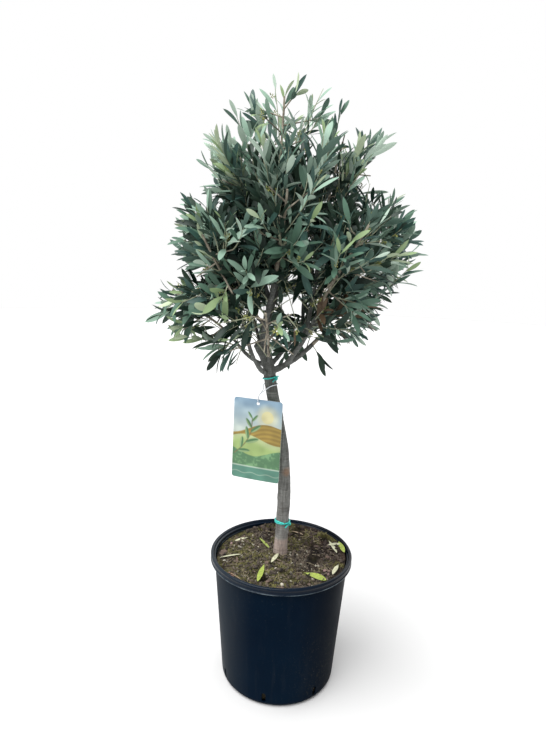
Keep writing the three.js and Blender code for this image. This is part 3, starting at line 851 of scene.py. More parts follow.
# a bough leaves its parent at its own rise and ends where its mass's stem begins
def growBough(name, parent, at, rise, into, radius):
    start = pointAt(limbs[parent][0], at)
    middle = middles[massIndex[into]]
    whole = np.linalg.norm(middle - start)
    end = start + (middle - start) * (1 - crown["massRadius"] * crown["boughEnd"] / whole)
    chord = unit(end - start)
    leaving = unit(chord * [1, 1, 0]) * math.cos(math.radians(rise))
    leaving = leaving + skyward * math.sin(math.radians(rise))
    arriving = between(chord, skyward, boughShape["upturn"])
    path = sweep(start, leaving, end, arriving)
    limbs[name] = path, radius * np.linspace(1, boughShape["tipShare"], len(path))
    return arriving


# one mass's stem, and its straight twigs, which aim evenly all round the mass's middle; a twig
# stays if its own mass holds it at both checks along it
def growMass(index, boughName, arriving):
    s = stemShape
    path, radii = limbs[boughName]
    outward = unit(middles[index] - crown["axisFoot"])
    lean = between(outward, skyward, s["upturn"])
    stem = sweep(path[-1], arriving, towardsEdge(index, lean, s["reach"]), lean, s["points"])
    row = seededRow(index + 1)
    across = unit(np.cross(lean, skyward))
    over = np.cross(across, lean)
    count = s["twigs"]
    height = 1 - 2 * (np.arange(count) + 0.5) / count
    turn = np.arange(count) * goldenAngle + [next(row) * twigShape["stray"] for _ in range(count)]
    wide = np.sqrt(1 - height**2)
    aim = lean * height[:, None] + across * (wide * np.cos(turn))[:, None]
    aim = aim + over * (wide * np.sin(turn))[:, None]
    ends = middles[index] + aim * room(index, middles[index][None], aim)[:, None] * twigShape["reach"]
    starts = pointAt(stem, s["from"] + (s["to"] - s["from"]) * (0.5 + height / 2))
    first, second = [owns(index, starts + (ends - starts) * at) for at in twigShape["checks"]]
    inside = first & second
    return stem, np.linspace(radii[-1], s["tipRadius"], s["points"]), starts[inside], ends[inside]


growTrunk()
grown = []  # for each bough: its mass's number, stem, stem radii, twigs' starts and ends
for name, bough in boughs.items():
    arriving = growBough(name, *bough)
    index = massIndex[bough[3]]
    grown.append((index, *growMass(index, name, arriving)))
print("limbs:", len(limbs), "with", sum(len(g[3]) for g in grown), "twigs")


# the bark: all limbs fused in one skin, smoothed at the forks, then given its relief
barkShape = {
    "sides": 28, "dome": 0.7, "voxel": 1.15, "smooth": 10, "smoothing": 0.5, "sunk": 250,
    # the smoothing thins the limbs, so the skin is let out again by about as much
    "letOut": 0.35,
    # long soft ridges and fine rings: how high, how fine each way, and a seed
    "relief": [(0.8, (0.12, 0.12, 0.016), 31), (0.38, (0.3, 0.3, 0.03), 32),
               (0.2, (0.06, 0.06, 0.42), 33), (0.14, (0.14, 0.14, 0.8), 34)],
    # knots on the trunk: height, degrees from the front (right positive), radius, how proud
    "knots": [(429, 32, 6, 0.7), (545, 60, 10, 1.3), (306, 70, 7, 1.4), (618, -30, 7, 0.8),
              (372, -120, 8, 0.9), (500, 170, 9, 1.2)],
    "scarred": (429, 32),
}
barkTints = {
    "plain": (0.2, 0.17, 0.14), "upper": ((0.05, 0.053, 0.048), (0.125, 0.134, 0.125)),
    "lower": ((0.095, 0.09, 0.084), (0.212, 0.207, 0.195)),
    "foot": ((0.17, 0.125, 0.105), (0.33, 0.265, 0.23)), "rust": (0.2, 0.11, 0.06),
    "darkStreak": (0.028, 0.026, 0.02), "brightStreak": (0.25, 0.258, 0.244),
    "darkRing": (0.04, 0.034, 0.03), "brightRing": (0.24, 0.235, 0.22),
}


def onTrunk(height, degrees):
    path, radii = limbs["trunk"]
    nearest = np.argmin(np.abs(path[:, 2] - height))
    return path[nearest] + heading(math.radians(degrees - 90)) * radii[nearest]


# mottled grey, paler towards the foot and pink at it, where it was once under the soil, with fine
# streaks that run along the limb, faint marks that run round it, and a scar's rust tone
def barkMaterial():
    tints = barkTints
    made, shader = newMaterial("bark", tints["plain"], 0.85)
    place = objectPlace(made)
    mottled = ranged(made, noise(made, place, 55, 5, 0.65), 0.35, 0.68)
    height = axisOf(made, place, "Z")
    streaks = noise(made, objectPlace(made, scale=(320, 320, 24)), 1, 4, 0.7)
    rings = noise(made, objectPlace(made, scale=(20, 20, 340)), 1, 4, 0.7)
    scar = {0: place, 1: tuple(onTrunk(*barkShape["scarred"]) * mm)}
    away = node(made, "VectorMath", scar, operation="DISTANCE")["Value"]
    upper, lower, foot = [mixed(made, mottled, *tints[name]) for name in ("upper", "lower", "foot")]
    colour = layered(
        made, upper,
        (ranged(made, height, 0.5, 0.27), lower),
        (ranged(made, height, 0.292, 0.286), foot),
        (ranged(made, streaks, 0.5, 0.68, 0, 0.6), tints["darkStreak"]),
        (ranged(made, streaks, 0.44, 0.34, 0, 0.45), tints["brightStreak"]),
        (ranged(made, rings, 0.52, 0.68, 0, 0.65), tints["darkRing"]),
        (ranged(made, rings, 0.44, 0.34, 0, 0.4), tints["brightRing"]),
        (ranged(made, away, 0.012, 0.004, 0, 0.6), tints["rust"]),
    )
    link(made, colour, shader.inputs["Base Color"])
    rough = noise(made, objectPlace(made, scale=(420, 420, 90)), 1, 4, 0.7)
    bumped(made, shader, rough, 0.0009, 0.7)
    return made


# relief along the normals: the random field in ridges and rings, and a ring with a hollow at each
# knot, proud·(exp(−((d − 0.8)/0.4)²) − 0.9·exp(−(d/0.5)²)) at d of its radii away
def barkRelief(p):
    relief = sum(high * field(p * fine, seed) for high, fine, seed in barkShape["relief"])
    for height, degrees, radius, proud in barkShape["knots"]:
        away = np.linalg.norm(p - onTrunk(height, degrees), axis=1) / radius
        relief += proud * (np.exp(-((away - 0.8) / 0.4) ** 2) - 0.9 * np.exp(-((away / 0.5) ** 2)))
    return relief


def makeBark():
    s = barkShape
    surfaces = [limbSurface(path[None], radii[None], s["sides"], s["dome"])
                for path, radii in limbs.values()]
    bark = addPiece("bark", *gathered(surfaces), [], slot="bark")
    remesh = bark.modifiers.new("fuse", "REMESH")
    remesh.mode, remesh.voxel_size = "VOXEL", s["voxel"] * mm
    smooth = bark.modifiers.new("smooth", "SMOOTH")
    smooth.factor, smooth.iterations = s["smoothing"], s["smooth"]
    mesh = applyModifiers(bark)
    points, normals = np.zeros((2, len(mesh.vertices) * 3))
    mesh.vertices.foreach_get("co", points)
    mesh.vertex_normals.foreach_get("vector", normals)
    points, normals = points.reshape(-1, 3) / mm, normals.reshape(-1, 3)
    points = points + normals * (s["letOut"] + barkRelief(points))[:, None]
    points[:, 2] = np.maximum(points[:, 2], s["sunk"])
    mesh.vertices.foreach_set("co", (points * mm).ravel())
    mesh.polygons.foreach_set("use_smooth", np.ones(len(mesh.polygons), bool))
    mesh.update()
    mesh.materials.clear()
    mesh.materials.append(barkMaterial())
    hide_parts(*limbs)
    print("bark:", len(mesh.polygons), "faces")


makeBark()


# shoots: finer twigs that branch off the twigs, stems and boughs within the crown's outline
shootShape = {
    # how many start on each twig, stem and bough, and between which shares of its way
    "onTwig": (0.2, 1, 9), "onStem": (0.1, 1, 9), "onBough": (0.3, 0.95, 34),
    "angle": (20, 65), "length": (60, 150), "inner": (45, 135), "least": 24,
    # one that starts at a tip goes nearly straight on: where tips begin, its share of angle, and
    # which stretch of a high twig carries leaves itself
    "tipFrom": 0.995, "tipAngle": 0.3, "leafyEnd": (0.35, 1),
    # how strongly they turn to the way that suits their place, and how much of it is upwards
    "turnIn": 0.55, "turnInner": 0.2, "rise": {"low": -0.12, "high": 0.72, "from": 690, "to": 980},
    "edge": (0.78, 1.0), "tipRoom": 20, "radius": 1.1, "tipRadius": 0.5, "curl": 0.18,
    "curlStray": 0.5, "points": 9, "middle": (-20, 0, 800), "lobe": 42, "lobeDepth": 0.2, "seed": 41,
    # how far apart their tips stand: in general, towards the top, and before the open front
    "apart": 24.4, "apartTop": 31, "apartWindow": 48, "topFrom": 1000, "topTo": 1080,
}
# tall upright shoots that stand up out of the crown's upper side
spireShape = {
    "count": 34, "from": 880, "above": 985, "outward": 0.42, "stray": 0.16, "length": (80, 200),
    "apart": 36, "apartTop": 56, "topFrom": 1035, "tipRoom": 11, "shortBy": 0.45, "stiffness": 12,
    "leafAngle": 0.6, "seed": 43,
}
# short shoots that hang from the low boughs: where along them, and how long
hangingShape = {
    "on": ("low_left_bough", "low_right_bough", "front_left_bough", "back_right_bough"),
    "along": (0.45, 0.98), "each": 3, "length": (24, 40), "outward": 0.6, "stray": 0.3, "grown": 1.1,
    "bow": -0.2, "leafSize": 1.0, "leafAngle": 0.6, "seed": 44,
}
crownWindow = {"middle": (22, -120, 905), "reach": (52, 90, 50)}
# where the sky shows right through the crown: middle (x, z) and radius
skyGaps = [((2, 798), 13), ((-36, 768), 17), ((6, 748), 20), ((-138, 716), 22), ((-98, 660), 36),
           ((54, 816), 10), ((100, 722), 14), ((48, 668), 30), ((124, 806), 10), ((-54, 722), 14),
           ((-60, 642), 22), ((100, 664), 18), ((-94, 724), 11), ((155, 986), 32)]
# limbs that show from the front: from and to which share, and how wide the view of them is
limbsInView = {
    "low_right_bough": (0, 0.95, 15), "right_bough": (0, 0.7, 12), "low_left_bough": (0, 0.8, 16),
    "leader": (0, 0.75, 16), "left_bough": (0.1, 0.6, 10), "upper_right_bough": (0.1, 0.5, 9),
}
# the crown thins out below and at its top: where that begins and ends, and the share left
thinning = {"below": (735, 660, 0.2), "above": (985, 1045, 0.1)}


def clearOfLimbs(p):  # not before a limb that shows
    clear = np.ones(len(p), bool)
    for name, (first, last, wide) in limbsInView.items():
        line = pointAt(limbs[name][0], np.linspace(first, last, 24))
        near = np.hypot(p[:, None, 0] - line[:, 0], p[:, None, 2] - line[:, 2]) < wide
        clear &= ~(near & (p[:, None, 1] < line[:, 1])).any(axis=1)
    return clear


def clearOfGaps(p):  # outside each gap's round channel, which runs from front to back
    away = [np.hypot(p[..., 0] - x, p[..., 2] - z) > radius for (x, z), radius in skyGaps]
    return np.all(away, axis=0)


def clearThroughout(root, lean, length):  # no outer part of a straight shoot in a gap
    shares = np.array([0.3, 0.5, 0.7, 0.85, 1])[:, None]
    return clearOfGaps(root[:, None] + lean[:, None] * length[:, None, None] * shares).all(axis=1)


# the visible crown has lobes: the outline drawn in by depth where the random field is high
def inLobes(p):
    s = shootShape
    away = np.linalg.norm((p[..., None, :] - outline[:, 0]) / outline[:, 1], axis=-1).min(axis=-1)
    return away + s["lobeDepth"] * (0.5 + 0.5 * field(p / s["lobe"], s["seed"])) <= 1


# how far such a crown reaches from start along direction
def roomInCrown(start, direction, holds=inLobes, step=3.0):
    steps = np.arange(1, 100) * step
    inside = holds(start[..., None, :] + steps[:, None] * direction[..., None, :])
    return np.argmin(inside, axis=-1) * step


# the way that suits a place: outwards from the crown's middle, and upwards by rise
def suited(p):
    s = shootShape
    rise = s["rise"]
    outward = unit((p - s["middle"]) * [1, 1, 0.5])
    up = rise["low"] + (rise["high"] - rise["low"]) * ease(p[..., 2:], rise["from"], rise["to"])
    return unit(outward * (1 - np.abs(up)) + skyward * up)


# where shoots may start and how they lean: at even shares of every twig, stem and bough, each a
# golden angle round from the last, and one nearly straight on from every tip
def shootStarts(random):
    s = shootShape
    roots, leans, inner, last = [], [], [], []

    def along(path, shares, deepIn):
        ahead = tangentAt(path, shares)
        atTip = shares > s["tipFrom"]
        angle = drawn(random, np.radians(s["angle"]), len(shares))
        angle[atTip] *= s["tipAngle"]
        turn = np.arange(len(shares)) * goldenAngle + random.random() * 2 * math.pi
        roots.append(pointAt(path, shares))
        leans.append(offset(ahead, angle, turn))
        inner.append(np.full(len(shares), deepIn))
        last.append(atTip)

    for _, stem, _, starts, ends in grown:
        along(stem, np.linspace(*s["onStem"]), False)
        for start, end in zip(starts, ends):
            twig = start + (end - start) * np.linspace(0, 1, 12)[:, None]
            along(twig, np.linspace(*s["onTwig"]), False)
    for name in boughs:
        along(limbs[name][0], np.linspace(*s["onBough"]), True)
    return [np.concatenate(each) for each in (roots, leans, inner, last)]


# which shoots stay: taken in the order given, those whose tips stand clear of the ones before
def spacedOut(tips, order, clear, most):
    taken = np.zeros(len(tips), bool)
    for i in order:
        away = np.linalg.norm(tips[taken] - tips[i], axis=1)
        taken[i] = taken.sum() < most and not (away < clear[i]).any()
    return taken


# shoots run straight on along lean, and curve by bow·(t² − t), both times their length
def bowed(root, lean, bow, length):
    t = np.linspace(0, 1, shootShape["points"])[:, None]
    paths = lean[:, None] * t + bow[:, None] * (t**2 - t)
    return root[:, None] + paths * length[:, None, None], length


# the shoots keep clear of gaps, limbs that show and each other, and curve the way that suits them
def growShoots():
    s = shootShape
    random = np.random.default_rng(s["seed"])
    root, lean, inner, last = shootStarts(random)
    lean = between(lean, suited(root), np.where(inner, s["turnInner"], s["turnIn"])[:, None])
    count = len(root)
    long = drawn(random, [np.where(inner, s["inner"][k], s["length"][k]) for k in (0, 1)], count)
    edge = drawn(random, s["edge"], count)
    length = np.minimum(long, roomInCrown(root, lean) * edge - s["tipRoom"])
    tips = root + lean * length[:, None]
    keep = (length > s["least"]) & clearOfGaps(tips) & clearOfLimbs(tips)
    keep &= clearThroughout(root, lean, length) | (tips[:, 2] < spireShape["from"])
    for start, stop, left in thinning.values():
        gone = np.clip((tips[:, 2] - start) / (stop - start), 0, 1)
        keep &= (random.random(count) > gone * (1 - left)) | last
    root, lean, length, tips = [each[keep] for each in (root, lean, length, tips)]
    clear = s["apart"] + (s["apartTop"] - s["apart"]) * ease(tips[:, 2], s["topFrom"], s["topTo"])
    inWindow = np.linalg.norm((tips - crownWindow["middle"]) / crownWindow["reach"], axis=1) < 1
    clear = np.where(inWindow, s["apartWindow"], clear)
    keep = spacedOut(tips, random.permutation(len(tips)), clear, len(tips))
    root, lean, length, tips = [each[keep] for each in (root, lean, length, tips)]
    curl = suited(tips) + random.normal(size=root.shape) * s["curlStray"]
    return bowed(root, lean, curl * s["curl"], length)


# the spires rise from the upper twigs nearly to the outline
def growSpires():
    s = spireShape
    random = np.random.default_rng(s["seed"])
    root, _, inner, _ = shootStarts(random)
    root = root[(root[:, 2] > s["from"]) & ~inner]
    outward = unit((root - shootShape["middle"]) * [1, 1, 0]) * s["outward"]
    lean = unit(skyward + outward + random.normal(size=root.shape) * s["stray"])
    length = roomInCrown(root, lean, inOutline) * (1 - s["shortBy"] * random.random(len(root)) ** 2)
    length = length - s["tipRoom"]
    tips = root + lean * length[:, None]
    fits = (length > s["length"][0]) & (length < s["length"][1]) & (tips[:, 2] > s["above"])
    fits &= clearThroughout(root, lean, length)
    clear = np.where(tips[:, 2] > s["topFrom"], s["apartTop"], s["apart"])
    taken = spacedOut(tips, random.permutation(np.nonzero(fits)[0]), clear, s["count"])
    root, lean, length = root[taken], lean[taken], length[taken]
    return bowed(root, lean, random.normal(size=root.shape) / s["stiffness"], length)


# the hanging shoots run down and outwards from the low boughs
def growHanging():
    s = hangingShape
    random = np.random.default_rng(s["seed"])
    shares = np.linspace(*s["along"], s["each"])
    root = np.concatenate([pointAt(limbs[name][0], shares) for name in s["on"]])
    outward = unit(root * [1, 1, 0]) * s["outward"]
    lean = unit(outward - skyward + random.normal(size=root.shape) * s["stray"])
    length = drawn(random, s["length"], len(root))
    kept = inOutline(root + lean * length[:, None], s["grown"])
    root, lean, length = root[kept], lean[kept], length[kept]
    return bowed(root, lean, np.tile(s["bow"] * skyward, (len(root), 1)), length)


# the outer stretches of the highest twigs and stems, which carry leaves themselves
def leafyEnds():
    shares = np.linspace(*shootShape["leafyEnd"], shootShape["points"])
    paths = []
    for _, stem, _, starts, ends in grown:
        lines = [stem] + [np.array([start, end]) for start, end in zip(starts, ends)]
        paths += [pointAt(line, shares) for line in lines if line[-1, 2] > thinning["above"][1]]
    paths = np.array(paths)
    return paths, np.linalg.norm(np.diff(paths, axis=1), axis=2).sum(axis=1)


kinds = {"shoot": growShoots(), "spire": growSpires(), "hanging": growHanging(), "end": leafyEnds()}
shootPaths, shootLengths = [np.concatenate(each) for each in zip(*kinds.values())]
shootKind = np.repeat(list(kinds), [len(lengths) for _, lengths in kinds.values()])


def makeTwigs():
    wood = tonedMaterial("twig_wood", (0.2, 0.18, 0.14), 0.8, (0.12, 0.1, 0.075), (0.3, 0.27, 0.21), 120)
    skin = tonedMaterial("shoot_skin", (0.3, 0.33, 0.22), 0.7, (0.2, 0.2, 0.13), (0.36, 0.4, 0.27), 90)
    stems, stemRadii = [np.stack([g[k] for g in grown]) for k in (1, 2)]
    starts, ends = [np.concatenate([g[k] for g in grown]) for k in (3, 4)]
    points = 6
    paths = starts[:, None] + (ends - starts)[:, None] * np.linspace(0, 1, points)[:, None]
    radii = np.linspace(twigShape["radius"], twigShape["tipRadius"], points) * np.ones((len(starts), 1))
    woody = gathered([limbSurface(stems, stemRadii, 9), limbSurface(paths, radii, 7)])
    addPiece("twigs", *woody, [wood], slot="bark")
    radii = np.linspace(shootShape["radius"], shootShape["tipRadius"], shootShape["points"])
    radii = radii * np.ones((len(shootPaths), 1))
    addPiece("shoots", *limbSurface(shootPaths, radii, 5), [skin], slot="bark")
    spires = (shootKind == "spire").sum()
    print("twigs:", len(starts), "and", len(shootPaths), "shoots,", spires, "of them spires")


makeTwigs()


# leaves: narrow blades in opposite pairs along shoots and twigs
leafShape = {
    "length": (37, 59), "widthShare": (0.17, 0.25), "thickness": 0.7, "stalk": 0.07, "rings": 9,
    # the half width is sin(πu^skew)^round, and at least least
    "skew": 1.15, "round": 0.65, "least": 0.09,
    "bend": (0.05, 0.6), "fold": (0.1, 0.35), "curl": 0.25, "crease": 60,
    # how the pairs follow each other, how wide they open from the tip down, and how they stray
    "spacing": 12, "halfApart": 2.5, "firstDown": 6, "shareBare": 0.16,
    "angle": (12, 36), "opening": 3, "lean": 16, "twist": 60, "faceUp": 0.2, "faceStray": 0.3,
    # the first leaves are smaller: their share of the size, and after how many pairs they are full
    "tipSize": 0.55, "tipLead": 0.6, "fullAfter": 2.2, "sprayTurn": 1.7, "seed": 77,
    # how far past the outline leaves may reach: in general, hanging, and on spires
    "grown": 1.03, "hangingGrown": 0.3, "spireGrown": 0.1,
    # the share of leaves left at the crown's top, and between which heights they thin out
    "leftAtTop": 0.44, "thinFrom": 990, "thinTo": 1070,
}
# tints by spray: upper side, underside, and how many in general, towards the top and deep inside;
# the paler tints dealt towards the top are painted light, the dark ones deep inside painted shade
leafTints = {
    "slate": ((0.026, 0.063, 0.052), (0.095, 0.155, 0.125), (0.28, 0.14, 0.2)),
    "sage": ((0.073, 0.14, 0.099), (0.21, 0.29, 0.235), (0.29, 0.25, 0.04)),
    "silver": ((0.205, 0.31, 0.24), (0.44, 0.55, 0.46), (0.15, 0.53, 0.0)),
    "deep": ((0.007, 0.021, 0.013), (0.035, 0.06, 0.042), (0.22, 0.0, 0.72)),
    "young": ((0.2, 0.28, 0.14), (0.42, 0.5, 0.34), (0.06, 0.1, 0.0)),
    "rusty": ((0.085, 0.056, 0.034), (0.13, 0.09, 0.055), (0.0, 0.0, 0.06)),
}
# heights where the paler tints of the top, painted light, begin and are full, how much of the outline
# is deep inside, where dark tints paint shade, and below which height leaves are rusty
crownDepth = {"topFrom": 890, "topTo": 1010, "inside": 0.75, "rustyBelow": 790}
# single leaves that stray from their spray's tint to one of the first tints, and pale shoot tips
strayTints = {"share": 0.3, "among": 3, "youngTips": 0.2}


# many leaves: centre line root + L·(axis·sin(bt) − face·(1 − cos(bt)))/b, half width
# W·sin(πu^skew)^round past the stalk, edges raised by the fold, and the whole turned by twist·t
def leafSurface(root, axis, face, length, width, bend, fold, twist):
    s = leafShape
    t = np.linspace(0, 1, s["rings"] + 2)
    t[1] = s["stalk"]
    u = np.clip((t - s["stalk"]) / (1 - s["stalk"]), 0, 1)
    half = np.maximum(np.abs(np.sin(math.pi * u ** s["skew"])) ** s["round"], s["least"])
    turned = (bend[:, None] * t)[..., None]
    side = np.cross(face, axis)[:, None]
    centre = axis[:, None] * np.sin(turned) - face[:, None] * (1 - np.cos(turned))
    centre = root[:, None] + centre / bend[:, None, None] * length[:, None, None]
    normal = face[:, None] * np.cos(turned) + axis[:, None] * np.sin(turned)
    rolled = twist[:, None] * t
    across, normal = swing(side, normal, rolled), swing(normal, -side, rolled)
    wide = (half * width[:, None] / 2)[..., None]
    thick = (0.35 + 0.65 * half)[None, :, None] * s["thickness"] / 2
    lifted = normal * wide * fold[:, None, None]
    rings = np.stack([
        centre - across * wide + lifted, centre - normal * thick,
        centre + across * wide + lifted, centre + normal * thick,
    ], axis=2)[:, 1:-1]
    count = len(root)
    points = np.concatenate([rings.reshape(count, -1, 3), centre[:, :1], centre[:, -1:]], axis=1)
    faceSets = bodyFaces(s["rings"], 4, count)
    # of the four strips round a leaf, the first two are its underside
    below = np.concatenate([np.arange(len(faces)) % 4 < 2 for faces in faceSets])
    return points, faceSets, below


# the places for leaves, from the tips down: pairs a quarter turn apart that open wider downwards
def leafPlaces(paths, lengths, random):
    s = leafShape
    most = int(lengths.max() / s["spacing"]) + 1
    pair, half = [each.ravel() for each in np.meshgrid(np.arange(most), [0, 1], indexing="ij")]
    first = random.random((len(paths), 1)) * s["firstDown"]
    down = (pair * s["spacing"] + half * s["halfApart"])[None] + first
    share = 1 - down / lengths[:, None]
    which, slot = np.nonzero(share > s["shareBare"])
    pair, half = pair[slot], half[slot]
    root, along = alongPaths(paths, which, share[which, slot])
    return which, pair, root, along, (pair % 2) * math.pi / 2 + half * math.pi


# every leaf that stays clear of the gaps and of the limbs that show, and inside the outline
def growLeaves():
    s = leafShape
    random = np.random.default_rng(s["seed"])
    which, pair, root, along, turn = leafPlaces(shootPaths, shootLengths, random)
    count = len(root)
    hangs, stands = [(shootKind == kind)[which] for kind in ("hanging", "spire")]
    turn = turn + (random.random(count) - 0.5) * math.radians(s["twist"])
    turn = turn + which * s["sprayTurn"]
    opened = np.minimum(1, pair / s["opening"])
    angle = s["angle"][0] + (s["angle"][1] - s["angle"][0]) * opened + random.random(count) * s["lean"]
    angle[stands] *= spireShape["leafAngle"]
    angle[hangs] *= hangingShape["leafAngle"]
    axis = offset(along, np.radians(angle), turn)
    face = between(along, skyward, s["faceUp"]) + random.normal(size=(count, 3)) * s["faceStray"]
    face = unit(face - axis * dot(face, axis))
    size = s["tipSize"] + (1 - s["tipSize"]) * np.minimum(1, (pair + s["tipLead"]) / s["fullAfter"])
    size[hangs] = hangingShape["leafSize"]
    length = drawn(random, s["length"], count) * size
    width = length * drawn(random, s["widthShare"], count)
    bend, fold = [drawn(random, s[name], count) for name in ("bend", "fold")]
    twist = random.normal(size=count) * s["curl"]
    tip = root + axis * length[:, None]
    half = (root + tip) / 2
    keep = clearOfGaps(tip) & clearOfGaps(half) & clearOfLimbs(tip) & clearOfLimbs(half)
    reach = s["grown"] + s["hangingGrown"] * hangs + s["spireGrown"] * stands
    keep = (keep | hangs) & inOutline(tip, reach[:, None, None])
    thinned = (1 - s["leftAtTop"]) * ease(half[:, 2], s["thinFrom"], s["thinTo"])
    keep &= (random.random(count) > thinned) | (pair < 1)
    leaves = (root, axis, face, length, width, bend, fold, twist)
    return which[keep], pair[keep], [each[keep] for each in leaves]


# the tint of each leaf: one for each spray, dealt by how high and how deep inside its tip is; paler
# tints high up are painted light, and darker tints deep inside and on the hanging shoots painted shade
def dealTints(which, pair):
    random = np.random.default_rng(leafShape["seed"] + 1)
    names, depth = list(leafTints), crownDepth
    general, top, deepIn = np.array([tint[2] for tint in leafTints.values()]).T
    tips = shootPaths[:, -1]
    high = ease(tips[:, 2], depth["topFrom"], depth["topTo"])[:, None]
    inside = inOutline(tips, depth["inside"]) & (tips[:, 2] < depth["topTo"])
    # the hanging shoots under the low boughs take the tints of the inside, as painted shade
    inside |= shootKind == "hanging"
    weights = np.where(inside[:, None], deepIn, general + (top - general) * high)
    weights[:, names.index("rusty")] *= tips[:, 2] < depth["rustyBelow"]
    reached = np.cumsum(weights / weights.sum(axis=1, keepdims=True), axis=1)
    tint = (random.random((len(tips), 1)) > reached).sum(axis=1)[which]
    stray = (random.random(len(which)) < strayTints["share"]) & ~inside[which]
    tint[stray] = random.choice(strayTints["among"], size=stray.sum())
    pale = (random.random(len(tips)) < strayTints["youngTips"]) & ~inside
    tint[(pair < 1) & pale[which]] = names.index("young")
    return names, tint


def makeLeaves():
    which, pair, leaves = growLeaves()
    names, tint = dealTints(which, pair)
    for number, name in enumerate(names):
        chosen = tint == number
        points, faceSets, below = leafSurface(*[each[chosen] for each in leaves])
        upperColour, lowerColour, _ = leafTints[name]
        upper, _ = newMaterial("leaf_" + name, upperColour, 0.45, Specular_IOR_Level=0.25)
        lower, _ = newMaterial("leaf_under_" + name, lowerColour, 0.8, Specular_IOR_Level=0.15)
        piece = addPiece("leaves_" + name, points, faceSets, [upper, lower], below.astype(int),
                         leafShape["crease"], "foliage")
        if number == 0:
            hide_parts(*masses)
        print("leaves", name, chosen.sum(), "of", len(chosen))


makeLeaves()


# flower buds: loose spikes of little round buds where leaves join some of the shoots
budShape = {
    "share": 0.34, "perShoot": (1, 3), "from": 0.3, "along": 0.62, "spike": (9, 19), "angle": 48,
    "upturn": 0.2, "buds": 9, "outer": 0.75, "radius": (0.8, 1.35), "long": 1.1, "stalk": 0.35,
    # they stand off the spike by spread, from a share of it at the end on, as steeply as this
    "spread": 2.6, "atEnd": 0.15, "steep": 4, "wind": 135, "seed": 91,
}


# the buds wind down each spike from the one at its end, and stand further off it as they go
def makeBuds():
    s = budShape
    random = np.random.default_rng(s["seed"])
    chosen = np.nonzero(random.random(len(shootPaths)) < s["share"])[0]
    chosen = np.repeat(chosen, random.integers(*s["perShoot"], size=len(chosen)))
    count = len(chosen)
    root, along = alongPaths(shootPaths, chosen, s["from"] + s["along"] * random.random(count))
    turn = random.random(count) * 2 * math.pi
    axis = unit(offset(along, np.full(count, math.radians(s["angle"])), turn) + skyward * s["upturn"])
    long = drawn(random, s["spike"], count)[:, None]
    tip = root + axis * long
    keep = inOutline(tip) & clearOfGaps(tip)
    root, axis, long, tip = root[keep], axis[keep], long[keep], tip[keep]
    count = len(root)
    k = np.arange(s["buds"])
    out = 1 - k / s["buds"] * s["outer"]
    across, over = squareTo(axis[:, None], axis)
    away = swing(across, over, k * math.radians(s["wind"]) + random.random((count, 1)) * math.pi)
    spread = s["spread"] * np.minimum(1, (1 - out) * s["steep"] + s["atEnd"])[:, None]
    centres = root[:, None] + axis[:, None] * (out[:, None] * long[:, None]) + away * spread
    centres = centres.reshape(-1, 3)
    radii = drawn(random, s["radius"], (len(centres), 1))
    axes = np.broadcast_to(np.eye(3), (len(centres), 3, 3))
    balls = roughBalls(centres, radii * [1, 1, s["long"]], axes, 23, sides=5, rows=2)
    stalks = np.stack([root, root + axis * long * 0.5, tip], axis=1)
    thin = limbSurface(stalks, np.full((count, 3), s["stalk"]), 3)
    yellow = tonedMaterial("bud", (0.3, 0.32, 0.06), 0.6, (0.13, 0.16, 0.04), (0.36, 0.36, 0.1), 60, 2)
    addPiece("flower_buds", *gathered([thin, balls]), [yellow], slot="foliage")
    print("buds:", len(centres), "on", count, "spikes")


makeBuds()


# fallen leaves on the compost: root and tip as seen from above, and how wide
fallenLeaves = {
    "cream": ((0.46, 0.46, 0.31), [((-123, -29), (-79, -6), 9), ((-4, -9), (-18, -46), 8),
                                   ((92, 30), (124, 38), 8), ((98, 51), (112, 4), 9),
                                   ((112, -32), (98, -68), 9), ((-70, 62), (-98, 44), 7)]),
    "lime": ((0.27, 0.34, 0.05), [((-31, -48), (-41, -106), 10), ((44, -64), (86, -84), 15),
                                 ((118, 50), (126, 6), 10), ((-48, 58), (-23, 16), 8)]),
    "brown": ((0.24, 0.17, 0.1), [((20, 84), (46, 70), 8), ((-70, -99), (-96, -74), 4)]),
}
# how high root and tip lie on the compost, how they tip, bend, fold and twist, and how dull
fallenShape = {"lie": (1.8, 2.8), "tip": 0.25, "bend": 0.12, "fold": (0.12, 0.05), "twist": 0.3,
               "dull": 0.62}


# each lies on the highest lump under it, and each is tipped and twisted another way
def makeFallenLeaves():
    s = fallenShape
    for name, (colour, places) in fallenLeaves.items():
        ends = np.array([(a, b) for a, b, _ in places], float)
        width = np.array([each for _, _, each in places], float)
        under = ends[:, :1] + (ends[:, 1:] - ends[:, :1]) * np.linspace(0, 1, 12)[:, None]
        high = soilHeight(under[..., 0], under[..., 1]).max(axis=1, keepdims=True) + s["lie"]
        root, tip = np.moveaxis(np.concatenate([ends, high[..., None]], axis=-1), 1, 0)
        length, axis = np.linalg.norm(tip - root, axis=1), unit(tip - root)
        k = np.arange(len(places))
        face = skyward + s["tip"] * np.stack([np.sin(k * 2.3), np.cos(k * 1.7), 0 * k], axis=1)
        face = unit(face - axis * dot(face, axis))
        bend, fold = np.full(len(k), s["bend"]), s["fold"][0] + s["fold"][1] * (k % 3)
        twist = s["twist"] * np.sin(k * 1.9)
        points, faceSets, _ = leafSurface(root, axis, face, length, width, bend, fold, twist)
        dull = tuple(s["dull"] * c for c in colour)
        made = tonedMaterial("fallen_" + name, colour, 0.6, dull, colour, 220)
        addPiece("fallen_" + name, points, faceSets, [made], None, leafShape["crease"], "foliage")
    print("fallen leaves:", sum(len(places) for _, places in fallenLeaves.values()))


makeFallenLeaves()


